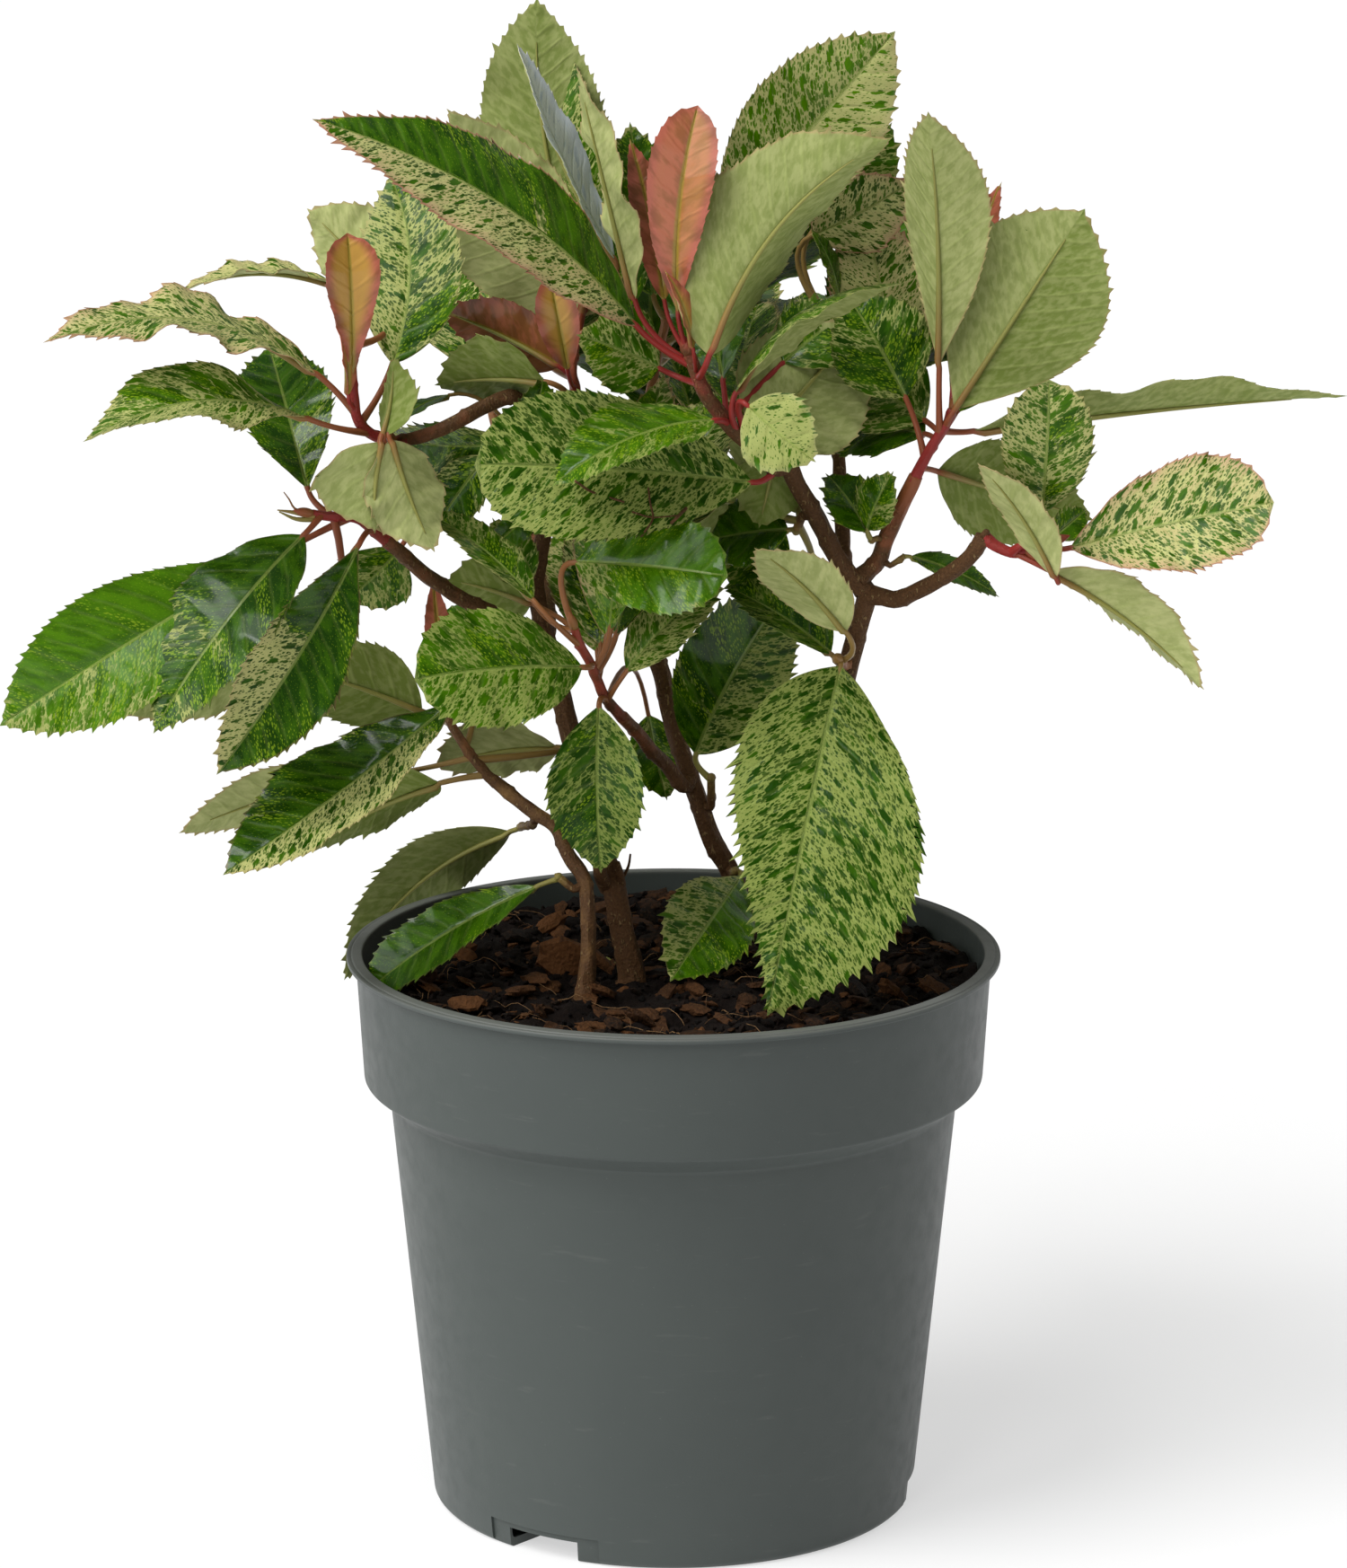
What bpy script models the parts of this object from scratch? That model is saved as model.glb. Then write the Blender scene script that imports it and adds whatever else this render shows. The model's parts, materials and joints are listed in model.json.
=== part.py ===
"""A variegated red tip photinia in a round nursery pot, in metres, +Z up.

The origin is the middle of the pot's flat underside and the plant faces -Y. Four
stems rise from the compost, boughs leave them, and each mass of foliage grows on
its own twig from a bough's tip or side. A place on the plant is given as seen from
the front: across and down in the viewer's frame, and how far it lies behind the
pot's axis in millimetres. The function seen turns that into a point in space.
"""

import math
from dataclasses import dataclass

import bmesh
import bpy
import numpy as np
from mathutils import Vector
from mathutils.bvhtree import BVHTree

MM = 0.001
GAP = 0.3 * MM

# The viewer's frame: 1500 across, 1746 down, seen from the front and a little above
VIEW_DISTANCE = 1.71
VIEW_HEIGHT = 0.631
VIEW_PITCH = math.radians(13.7)
VIEW_FOCAL = 6785.0
VIEW_CENTRE = (750.0, 873.0)
VIEWER = np.array([0.0, -VIEW_DISTANCE, VIEW_HEIGHT])

# The pot
POT_HEIGHT = 0.165
POT_WALL = 0.0018
POT_BASE = 0.0025
POT_SIDES = 40
LIP_RADIUS = 0.0950
LIP_HEIGHT = 0.0018
COLLAR_TOP_RADIUS = 0.0922
COLLAR_FOOT_RADIUS = 0.0902
COLLAR_FOOT = 0.1280
NECK_RADIUS = 0.0828
NECK_HEIGHT = 0.1225
FOOT_RADIUS = 0.0709
FOOT_ROUND = 0.0015
SLOT_ANGLES = (-122.5, -2.5, 117.5)
SLOT_SPREAD = 19.0
SLOT_HEIGHT = 0.0062
SLOT_END = 0.040
TUNNEL_WALL = 0.0020
PANEL_SPREAD = 30.0
PANEL_HEIGHT = 0.0080
PANEL_DEPTH = 0.0009

# The compost
COMPOST_TOP = 0.1570
COMPOST_BUMP = 0.0028
COMPOST_RINGS = 5
COMPOST_SIDES = 28
STEM_CLEARING = 0.011

# Limbs and leaves
LIMB_SIDES = 8
TWIG_SIDES = 4
LIMB_STEP = 0.011
PETIOLE_HALF = 0.0009
BLADE_STATIONS = (0.0, 0.16, 0.38, 0.62, 0.84)
PETIOLE_STATIONS = (0.0, 0.5)
LEAF_THICKNESS = 1 / 75
NUDGES = (0, 8, -8, 16, -16, 24, -24)
GOLDEN_ANGLE = math.radians(137.5)
SEED = 7
TRIES = 90

# In the viewer's frame, the middle of the crown, where no sky shows between its leaves
CORE = ((530, 360), (610, 260), (720, 210), (850, 210), (890, 300), (885, 470), (865, 560),
        (880, 640), (840, 720), (760, 780), (650, 780), (570, 700), (520, 640), (575, 560), (520, 520))


def seen(across, down, behind):
    """The point at this place in the viewer's frame, this many millimetres behind the pot's axis."""
    cos, sin = math.cos(VIEW_PITCH), math.sin(VIEW_PITCH)
    right = (across - VIEW_CENTRE[0]) / VIEW_FOCAL
    up = (VIEW_CENTRE[1] - down) / VIEW_FOCAL
    ray = np.array([right, cos + up * sin, up * cos - sin])
    return VIEWER + ray * (behind * MM + VIEW_DISTANCE) / ray[1]


def unit(vector):
    return vector / np.linalg.norm(vector)


def smooth_path(points, step):
    """A Catmull-Rom curve through the points, cut into stretches of about one step."""
    points = np.array(points)
    if len(points) == 2:
        return points, np.array([0.0, 1.0])
    padded = np.vstack([2 * points[0] - points[1], points, 2 * points[-1] - points[-2]])
    path, place = [], []
    for i in range(len(points) - 1):
        a, b, c, d = padded[i : i + 4]
        pieces = max(1, round(np.linalg.norm(c - b) / step))
        for t in np.arange(pieces) / pieces:
            path.append(0.5 * (2 * b + (c - a) * t + (2 * a - 5 * b + 4 * c - d) * t**2
                               + (3 * b - a - 3 * c + d) * t**3))
            place.append(i + t)
    path.append(points[-1])
    place.append(len(points) - 1)
    return np.array(path), np.array(place)


def tube(path, radii, sides):
    """Vertices and faces of a closed tube round a path, with flat ends square to it."""
    tangents = np.gradient(path, axis=0)
    tangents[0] = path[1] - path[0]
    tangents[-1] = path[-1] - path[-2]
    side = np.cross(tangents[0], [0.3, -0.8, 0.5])
    verts = []
    for centre, tangent, radius in zip(path, tangents, radii):
        tangent = unit(tangent)
        side = unit(side - tangent * np.dot(side, tangent))
        other = np.cross(tangent, side)
        for k in range(sides):
            angle = 2 * math.pi * k / sides
            verts.append(centre + radius * (math.cos(angle) * side + math.sin(angle) * other))
    rings = len(path)
    faces = [tuple(range(sides))[::-1], tuple(range((rings - 1) * sides, rings * sides))]
    for i in range(rings - 1):
        for k in range(sides):
            a, b = i * sides + k, i * sides + (k + 1) % sides
            faces.append((a, b, b + sides, a + sides))
    return verts, faces


@dataclass
class Limb:
    """A stem or bough: places in the viewer's frame and the radius in millimetres at each.

    A stem has no parent and starts flat on the compost. A bough starts at its parent's
    tip, or at its parent's side where the first place is nearest.
    """

    name: str
    places: tuple
    radii: tuple
    parent: str = ""
    from_tip: bool = False


@dataclass
class Leaf:
    """One leaf: where its blade starts and ends, and how it lies.

    width is the blade's true width in millimetres. face turns the upper side away from
    the viewer, in degrees, clockwise as seen along the leaf towards its tip. arch lifts
    the middle of the blade off its chord on the upper side, and bow moves it sideways in
    the view, both as parts of the blade's length. fold raises both halves about the
    midrib, and twist turns the tip against the base, in degrees. at is the place on the
    twig that its stalk leaves. blunt leaves end in a broad round tip, and the more rise, the
    nearer to its tip a blade is widest. skew narrows one half of the blade towards its tip and
    widens the other.
    """

    base: tuple
    tip: tuple
    width: float
    face: float
    at: float = 0.5
    arch: float = 0.06
    bow: float = 0.0
    fold: float = 12.0
    twist: float = 0.0
    blunt: bool = False
    rise: float = 0.8
    skew: float = 0.0


@dataclass
class Mass:
    """One mass of foliage: its twig, the leaves seen from the front, and how many are tried behind."""

    name: str
    parent: str
    from_tip: bool
    twig: tuple
    leaves: tuple
    radii: tuple = (1.7, 1.2)
    behind: int = 0


LIMBS = (
    Limb("stem_left",
         ((652, 1113, -26), (655, 1056, -24), (652, 986, -20), (634, 954, -17), (620, 923, -14),
          (596, 905, -11), (570, 886, -8), (548, 868, -6)),
         (3.2, 2.2, 2.1, 2.1, 2.0, 1.9, 1.9, 1.8)),
    Limb("stem_middle",
         ((704, 1098, -12), (692, 1030, -11), (682, 985, -10), (665, 925, -6), (648, 865, 0),
          (633, 810, 4), (621, 760, 6), (606, 701, 8), (597, 653, 10), (602, 615, 12),
          (612, 560, 12), (624, 510, 9), (634, 470, 4)),
         (4.6, 3.3, 3.3, 3.2, 3.1, 3.0, 2.8, 2.6, 2.4, 2.3, 2.2, 2.0, 1.8)),
    Limb("stem_back",
         ((845, 1040, 46), (826, 1000, 43), (810, 965, 40), (792, 933, 38), (780, 897, 36),
          (770, 868, 35), (760, 842, 36), (746, 796, 40), (739, 758, 44), (729, 725, 47),
          (721, 670, 50), (716, 610, 50), (714, 550, 48), (716, 500, 44)),
         (4.4, 3.0, 2.9, 2.9, 2.8, 2.7, 2.7, 2.6, 2.6, 2.5, 2.3, 2.1, 1.9, 1.8)),
    Limb("stem_right",
         ((880, 1052, 34), (893, 985, 24), (905, 930, 16), (926, 830, 8), (946, 737, 5),
          (955, 700, 4), (965, 662, 2), (953, 648, 1), (930, 617, -2), (907, 573, -6),
          (888, 540, -10), (877, 512, -13), (873, 497, -14)),
         (4.4, 3.1, 3.0, 2.9, 2.8, 2.8, 2.9, 2.7, 2.6, 2.5, 2.5, 2.4, 2.1)),
    Limb("bough_left",
         ((590, 702, 6), (554, 685, 1), (519, 669, -4), (478, 643, -11), (446, 615, -16), (430, 602, -18)),
         (2.4, 2.3, 2.2, 2.1, 2.0, 1.9), "stem_middle"),
    Limb("bough_upper_left",
         ((603, 480, 4), (588, 455, 0), (570, 442, -4), (540, 452, -8), (505, 472, -13), (470, 486, -16),
          (445, 491, -18)),
         (2.0, 2.1, 2.1, 2.1, 2.0, 1.8, 1.6), "stem_middle"),
    Limb("bough_front",
         ((757, 862, 31), (742, 852, 27), (725, 835, 20), (708, 814, 12), (692, 798, 4)),
         (2.2, 2.1, 2.0, 1.9, 1.9), "stem_back"),
    Limb("bough_right_up",
         ((973, 640, 3), (979, 622, 2), (987, 599, 0), (1006, 560, -3), (1020, 530, -5)),
         (2.5, 2.5, 2.4, 2.2, 2.0), "stem_right"),
    Limb("bough_right",
         ((977, 675, 1), (1000, 667, -2), (1032, 653, -6), (1064, 634, -12), (1084, 615, -15),
          (1095, 598, -16)),
         (2.4, 2.4, 2.3, 2.2, 2.2, 2.3), "stem_right"),
    Limb("bough_back_right",
         ((948, 655, 12), (942, 635, 20), (938, 590, 26), (935, 540, 31), (934, 500, 35)),
         (2.2, 2.2, 2.1, 2.0, 1.8), "stem_right"),
    Limb("bough_back_left",
         ((622, 690, 24), (606, 640, 40), (590, 580, 56), (570, 520, 68), (555, 480, 74)),
         (2.2, 2.2, 2.0, 1.8, 1.6), "stem_middle"),
    Limb("bough_back",
         ((735, 700, 62), (745, 650, 78), (765, 590, 88), (785, 540, 94)),
         (2.2, 2.1, 1.9, 1.7), "stem_back"),
)

MASSES = (
    Mass("foliage_upper_left", "bough_upper_left", True,
         ((430, 491, -19), (412, 482, -21), (398, 466, -23), (394, 440, -24), (391, 400, -24),
          (388, 350, -23)),
         (
             Leaf((352, 416, -28), (52, 380, -48), 30, 67, at=0.27, arch=0.15, fold=5),
             Leaf((343, 466, -34), (96, 490, -66), 34, 60, at=0.2, arch=0.13, fold=10, twist=-40, rise=1.5),
             Leaf((372, 316, 4), (203, 324, -6), 19, 80, at=0.75, arch=0.1),
             Leaf((428, 335, 6), (345, 235, 22), 32, 140, at=0.8),
             Leaf((437, 405, -12), (435, 196, 16), 31, -12, at=0.3, bow=0.1, fold=8),
             Leaf((391, 428, -27), (387, 264, -29), 17, 15, at=0.6, fold=24, blunt=True, rise=1.5),
             Leaf((388, 440, -28), (372, 348, -31), 9, 60, at=0.4, fold=24),
             Leaf((428, 486, -30), (438, 401, -22), 16, 130, at=0.06, fold=20),
             Leaf((423, 492, -31), (417, 590, -37), 33, 142, at=0.06, fold=38),
             Leaf((434, 490, -30), (482, 611, -33), 26, 150, at=0.03, fold=16),
         ), behind=10),
    Mass("foliage_left", "bough_left", True,
         ((418, 590, -20), (400, 578, -23), (382, 575, -26), (365, 575, -28), (348, 572, -30)),
         (
             Leaf((312, 616, -30), (3, 806, -46), 36, 6, at=0.55, arch=0.08, rise=1.3),
             Leaf((338, 596, -35), (173, 813, -54), 35, 32, at=0.9, arch=0.07, fold=18),
             Leaf((400, 606, -32), (244, 859, -62), 30, -22, at=0.2, arch=0.07, fold=18, rise=1.2),
             Leaf((444, 612, 4), (386, 668, 12), 24, -25, at=0.35),
             Leaf((330, 712, -10), (137, 793, -14), 33, 150, at=0.75),
             Leaf((343, 545, -22), (300, 388, 20), 27, 4, at=0.75, rise=1.1),
         ), behind=10),
    Mass("foliage_low_left", "stem_left", True,
         ((541, 860, -5), (532, 850, -4), (522, 838, -3), (512, 822, -3), (502, 806, -2), (497, 792, 0)),
         (
             Leaf((512, 775, -18), (252, 972, -52), 36, 45, at=0.95, arch=0.02, bow=-0.03, fold=16,
                  rise=1.25),
             Leaf((490, 872, -4), (345, 946, 4), 35, 126, at=0.08, fold=18),
             Leaf((430, 862, 2), (203, 926, -6), 20, 138, at=0.35, rise=1.1),
             Leaf((620, 832, 12), (487, 853, 20), 34, 122, at=0.3),
             Leaf((470, 792, 16), (330, 745, 8), 27, 160, at=0.8),
             Leaf((490, 762, 2), (482, 648, 6), 8, 10, at=0.95),
         ), behind=10),
    Mass("foliage_over_rim", "stem_left", False,
         ((606, 918, -8), (592, 918, 14), (580, 921, 44)),
         (Leaf((568, 926, 58), (385, 1088, 52), 27, 140, at=1.0, arch=0.16),), (1.4, 1.1)),
    Mass("foliage_in_pot", "stem_left", False,
         ((638, 980, -20), (624, 978, -20)),
         (Leaf((598, 987, -17), (412, 1101, -26), 20, 38, at=1.0, blunt=True),), (1.2, 1.1)),
    Mass("foliage_front", "bough_front", True,
         ((684, 788, 0), (673, 775, -5), (664, 755, -10), (657, 738, -14), (646, 718, -18),
          (640, 700, -20)),
         (
             Leaf((648, 743, -24), (466, 756, -52), 36, 18, at=0.65, arch=0.07, blunt=True),
             Leaf((640, 626, -24), (806, 641, -42), 29, -18, at=0.95, blunt=True),
             Leaf((667, 786, -11), (669, 968, -22), 29, 14, at=0.2, fold=14, rise=0.95),
             Leaf((698, 747, -10), (806, 640, -4), 22, -38, at=0.25),
             Leaf((594, 668, -25), (470, 568, -6), 19, 58, at=0.85),
             Leaf((592, 672, 6), (500, 646, 14), 24, 150, at=0.95),
             Leaf((586, 655, 3), (550, 580, 8), 15, 10, at=0.98),
             Leaf((722, 796, 52), (742, 888, 54), 17, 10, at=0.25),
         ), behind=6),
    Mass("foliage_inner", "stem_middle", False,
         ((610, 536, 4), (598, 520, -2), (588, 508, -6)),
         (
             Leaf((572, 492, -8), (432, 487, -15), 22, -45, at=0.9),
             Leaf((541, 508, -6), (490, 580, 2), 16, 10, at=0.6),
             Leaf((500, 440, 0), (431, 478, -10), 10, 70, at=0.9),
             Leaf((592, 566, 2), (541, 613, -4), 11, -30, at=0.3, rise=0.5),
         ), behind=8),
    Mass("foliage_top", "stem_middle", True,
         ((637, 450, 2), (641, 435, 1), (637, 415, 0), (640, 385, 4), (648, 345, 9), (655, 310, 13)),
         (
             Leaf((632, 412, -10), (613, 312, -14), 13, 0, at=0.25, fold=24, blunt=True),
             Leaf((607, 425, -10), (488, 428, -17), 30, 128, at=0.1),
             Leaf((622, 408, -1), (492, 346, 6), 21, 150, at=0.3),
             Leaf((648, 310, 10), (598, 2, 24), 36, 172, at=0.75, bow=-0.06, fold=8, rise=1.1),
             Leaf((668, 290, 18), (603, 15, 34), 27, -20, at=0.95, bow=-0.02),
             Leaf((684, 288, 2), (577, 52, -8), 26, 74, at=0.9, bow=-0.08),
             Leaf((655, 300, 5), (500, 124, -4), 24, 150, at=0.85, bow=-0.03),
             Leaf((700, 345, 8), (628, 200, 16), 30, 10, at=0.6),
             Leaf((668, 345, 8), (445, 203, 25), 36, 155, at=0.6),
             Leaf((590, 474, -14), (604, 424, -19), 12, 20, at=0.2),
         ), behind=12),
    Mass("foliage_centre", "stem_right", False,
         ((866, 518, -16), (850, 508, -18), (830, 490, -20), (812, 474, -22), (797, 455, -23),
          (785, 438, -24), (776, 417, -24), (768, 395, -24)),
         (
             Leaf((838, 537, -20), (533, 518, -38), 43, 14, at=0.04, arch=0.05, fold=8, blunt=True,
                  rise=0.85),
             Leaf((795, 468, -30), (618, 539, -52), 28, 52, at=0.5, arch=0.10),
             Leaf((708, 362, -27), (352, 134, -50), 38, 46, at=0.92, arch=0.1, fold=14),
             Leaf((755, 350, -27), (776, 122, -31), 20, -12, at=0.96, bow=-0.03, fold=20, blunt=True,
                  rise=1.1),
             Leaf((740, 335, -22), (702, 158, -16), 13, 20, at=0.98, fold=20),
             Leaf((772, 388, -31), (742, 304, -34), 9, 60, at=0.88, fold=24),
             Leaf((790, 395, -33), (990, 155, -46), 44, -146, at=0.85, bow=-0.07, fold=38, rise=0.65),
             Leaf((819, 438, -26), (1003, 316, -22), 30, -98, at=0.4, arch=0.16, fold=-14),
             Leaf((848, 490, -20), (957, 362, 14), 40, 180, at=0.25, fold=10),
             Leaf((864, 508, -6), (846, 584, -2), 22, 180, at=0.1),
             Leaf((833, 452, -33), (905, 512, -40), 24, 12, at=0.3),
             Leaf((734, 410, -15), (646, 374, -19), 26, 20, at=0.8),
             Leaf((707, 334, -20), (643, 77, -32), 23, 110, at=0.93, arch=0.0),
             Leaf((872, 404, -2), (948, 345, 12), 24, -20, at=0.5),
         ), behind=6),
    Mass("foliage_right_top", "bough_right_up", True,
         ((1026, 520, -6), (1036, 500, -8), (1046, 484, -9), (1054, 472, -10), (1060, 456, -10)),
         (
             Leaf((1046, 410, -14), (1034, 128, -32), 30, 152, at=0.65, bow=-0.01, fold=26, rise=1.25),
             Leaf((1062, 458, -13), (1206, 236, -22), 46, 178, at=0.8, fold=10, rise=1.15),
             Leaf((1084, 480, -6), (1497, 441, -22), 29, -98, at=0.7, arch=0.015, fold=24),
             Leaf((1008, 442, 0), (944, 330, 22), 31, 18, at=0.25),
             Leaf((1072, 335, 4), (1065, 154, 8), 11, 60, at=0.98),
             Leaf((1082, 335, 4), (1114, 206, 8), 13, -50, at=0.98),
             Leaf((1044, 525, 6), (1214, 578, 32), 30, 178, at=0.08),
             Leaf((1030, 468, 6), (934, 408, 26), 30, 16, at=0.6),
             Leaf((1030, 483, 4), (922, 478, 30), 26, 42, at=0.4),
         ), behind=10),
    Mass("foliage_right", "bough_right", False,
         ((1112, 613, -18), (1126, 615, -19), (1140, 614, -20), (1156, 609, -21), (1170, 604, -22)),
         (
             Leaf((1192, 610, -25), (1414, 560, -38), 35, -26, at=0.85, arch=0.03, blunt=True, rise=0.85),
             Leaf((1160, 572, -24), (1168, 427, -42), 26, 6, at=0.55, blunt=True),
             Leaf((1176, 644, -32), (1091, 518, -40), 18, 130, at=0.9),
             Leaf((1170, 636, -24), (1338, 765, -32), 24, -128, at=0.4, fold=34),
             Leaf((1172, 598, -14), (1208, 568, -8), 10, 10, at=0.95),
         ), behind=4),
    Mass("foliage_low_right", "stem_right", False,
         ((936, 727, -4), (934, 735, -10)),
         (
             Leaf((936, 742, -14), (855, 1127, -58), 54, 0, at=0.9, arch=0.07, fold=8, rise=0.75, skew=-0.5),
             Leaf((942, 704, -22), (843, 612, -36), 25, 135, at=0.8),
             Leaf((925, 728, -4), (811, 655, 8), 26, 46, fold=28),
         ), (1.8, 1.5)),
    Mass("foliage_middle", "stem_back", False,
         ((796, 884, 30), (792, 868, 26)),
         (Leaf((775, 840, 24), (885, 645, 8), 33, -4, at=1.0, bow=-0.03, fold=14),), (1.3, 1.2)),
    Mass("foliage_pot_back", "stem_back", False,
         ((814, 968, 34), (818, 970, 32)),
         (Leaf((826, 974, 29), (748, 1090, -20), 27, 0, at=1.0, rise=1.3),), (1.3, 1.2)),
    Mass("foliage_fork_left", "bough_right_up", False,
         ((974, 610, -1), (970, 602, -2)),
         (Leaf((966, 592, -3), (922, 530, 2), 18, 35, at=1.0),
          Leaf((966, 590, -4), (993, 528, -8), 15, -35, at=0.9)), (0.9, 0.8)),
    Mass("foliage_fork_right", "bough_right_up", False,
         ((998, 622, 0), (1006, 620, 0)),
         (Leaf((1014, 620, 0), (1110, 663, -4), 11, -50, at=1.0),), (0.9, 0.8)),
    Mass("foliage_inner_right", "stem_right", False,
         ((896, 586, -2), (888, 588, 0)),
         (
             Leaf((878, 590, 2), (790, 602, 10), 24, 30, at=1.0),
             Leaf((880, 632, 20), (806, 612, 26), 26, 10, at=0.8),
         ), (1.4, 1.2), behind=6),
    Mass("foliage_back_top", "stem_back", True,
         ((716, 488, 43), (722, 450, 41), (732, 400, 40), (744, 350, 38), (756, 310, 36)),
         (
             Leaf((788, 268, 30), (994, 38, 8), 38, 10, at=0.95, arch=0.07, bow=-0.01, fold=8, rise=1.3),
             Leaf((728, 330, 36), (702, 140, 40), 25, 0, at=0.75),
         ), behind=14),
    Mass("foliage_back_right", "bough_back_right", True,
         ((935, 490, 36), (938, 460, 37), (941, 420, 38), (944, 380, 38)),
         (
             Leaf((905, 262, 40), (1013, 203, 34), 25, 20, at=0.95),
             Leaf((906, 256, 46), (991, 140, 42), 24, 20, at=0.98),
             Leaf((996, 402, 44), (962, 232, 44), 30, 0, at=0.6),
             Leaf((934, 332, 36), (905, 258, 32), 13, 70, at=0.9),
         ), behind=12),
    Mass("foliage_back_left", "bough_back_left", True,
         ((550, 465, 76), (543, 430, 79), (538, 390, 81), (536, 350, 82)),
         (), behind=12),
    Mass("foliage_back", "bough_back", True,
         ((790, 520, 96), (797, 480, 98), (803, 430, 99), (806, 380, 98)),
         (), behind=14),
)


def chord_frame(leaf, nudge=0.0):
    """Base, tip, upper-side normal and sideways view direction of a leaf in space."""
    base = seen(*leaf.base)
    tip = seen(leaf.tip[0], leaf.tip[1], leaf.tip[2] + nudge)
    chord = unit(tip - base)
    toward = unit(VIEWER - (base + tip) / 2)
    toward = unit(toward - chord * np.dot(toward, chord))
    across = np.cross(chord, toward)
    angle = math.radians(leaf.face)
    normal = math.cos(angle) * toward + math.sin(angle) * across
    return base, tip, normal, across


@dataclass
class Blade:
    """A leaf in space: its blade is a surface of u, from base to tip, and v, from edge to edge."""

    base: np.ndarray
    tip: np.ndarray
    normal: np.ndarray
    bend: np.ndarray
    half: float
    fold: float
    twist: float
    blunt: bool
    rise: float
    skew: float

    @property
    def length(self):
        return np.linalg.norm(self.tip - self.base)

    def midrib(self, u):
        """The chord plus a parabola of the bend."""
        u = np.asarray(u, float)[..., None]
        return self.base + (self.tip - self.base) * u + self.bend * 4 * u * (1 - u)

    def frame(self, u):
        """Tangent, side and normal of the midrib, turned by the twist."""
        u = np.asarray(u, float)
        tangent = (self.tip - self.base) + self.bend * 4 * (1 - 2 * u[..., None])
        tangent /= np.linalg.norm(tangent, axis=-1, keepdims=True)
        side = np.cross(tangent, self.normal)
        side /= np.linalg.norm(side, axis=-1, keepdims=True)
        up = np.cross(side, tangent)
        turn = (self.twist * (u - 0.5))[..., None]
        return tangent, np.cos(turn) * side + np.sin(turn) * up, np.cos(turn) * up - np.sin(turn) * side

    def half_width(self, u, v=0):
        """u to a power, times 1 - u to a power, scaled to the half width at its widest, then skewed."""
        rise, fall = self.rise, (0.45 if self.blunt else 0.9)
        widest = rise / (rise + fall)
        even = self.half * (u**rise * (1 - u) ** fall) / (widest**rise * (1 - widest) ** fall)
        return even * (1 + self.skew * np.sign(v) * (2 * u - 0.5))

    def point(self, u, v):
        """The surface: out from the midrib by v half widths, each half raised by the fold."""
        _, side, up = self.frame(u)
        out = (self.half_width(u, v) * v)[..., None]
        lift = np.abs(out)
        return self.midrib(u) + out * math.cos(self.fold) * side + lift * math.sin(self.fold) * up


def blade_of(leaf, nudge=0.0):
    base, tip, normal, across = chord_frame(leaf, nudge)
    bend = (leaf.arch * normal + leaf.bow * across) * np.linalg.norm(tip - base)
    return Blade(base, tip, normal, bend, leaf.width * MM / 2, math.radians(leaf.fold),
                 math.radians(leaf.twist), leaf.blunt, leaf.rise, leaf.skew)


def leaf_mesh(blade, root, extra=0.0):
    """A closed strip with a diamond section: a stalk from its root, then the blade to its tip.

    Upper and lower sides are split along matching diagonals, so a twisted blade can't cross itself.
    """
    stations = np.array(BLADE_STATIONS)
    tangent, side, up = blade.frame(stations)
    middle = blade.midrib(stations)
    thick = np.full(len(stations), max(blade.length * LEAF_THICKNESS, 0.8 * MM) / 2) + extra
    rims = []
    for v in (-1, 1):
        half = np.maximum(blade.half_width(stations, v), PETIOLE_HALF)[:, None]
        lift = half * math.sin(blade.fold) * up
        lift[0] = 0
        rims.append(middle + v * half * math.cos(blade.fold) * side + lift)
    rings = []
    half = PETIOLE_HALF + extra
    knee = blade.base - tangent[0] * 0.45 * np.linalg.norm(blade.base - root)
    beside = side[0]
    for t in reversed(PETIOLE_STATIONS):
        centre = (1 - t) ** 2 * root + 2 * t * (1 - t) * knee + t**2 * blade.base
        along = unit((1 - t) * (knee - root) + t * (blade.base - knee))
        beside = unit(beside - along * np.dot(beside, along))
        over = np.cross(beside, along)
        rings.insert(0, [centre - half * beside, centre + half * over, centre + half * beside,
                         centre - half * over])
    for i in range(len(stations)):
        rings.append([rims[0][i], middle[i] + thick[i] * up[i], rims[1][i], middle[i] - thick[i] * up[i]])
    verts = [vert for ring in rings for vert in ring] + [blade.tip]
    faces = [(0, 1, 2, 3)]
    for i in range(len(rings) - 1):
        for k in range(4):
            a, b = 4 * i + k, 4 * i + (k + 1) % 4
            if k % 2:
                faces += [(a, a + 4, b + 4), (a, b + 4, b)]
            else:
                faces += [(a, a + 4, b), (b, a + 4, b + 4)]
    last = 4 * (len(rings) - 1)
    faces += [(last + k, len(verts) - 1, last + (k + 1) % 4) for k in range(4)]
    return verts, faces


def tree_of(verts, faces):
    return BVHTree.FromPolygons([Vector(v) for v in verts], faces)


def material(name, colour, roughness, metallic=0.0):
    made = bpy.data.materials.new(name)
    made.use_nodes = True
    shader = made.node_tree.nodes["Principled BSDF"]
    shader.inputs["Base Color"].default_value = (*colour, 1.0)
    shader.inputs["Roughness"].default_value = roughness
    shader.inputs["Metallic"].default_value = metallic
    made.diffuse_color = (*colour, 1.0)
    return made


def add_mesh(name, verts, faces, finish, collection=None):
    """A new object from vertices and faces, its faces turned outwards."""
    mesh = bpy.data.meshes.new(name)
    mesh.from_pydata([tuple(v) for v in verts], [], faces)
    shape = bmesh.new()
    shape.from_mesh(mesh)
    bmesh.ops.recalc_face_normals(shape, faces=shape.faces)
    shape.to_mesh(mesh)
    shape.free()
    mesh.materials.append(finish)
    obj = bpy.data.objects.new(name, mesh)
    (collection or bpy.context.scene.collection).objects.link(obj)
    return obj


def wall_radius(height):
    """The pot's outer radius between its foot and its neck."""
    return FOOT_RADIUS + (NECK_RADIUS - FOOT_RADIUS) * height / NECK_HEIGHT


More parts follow.
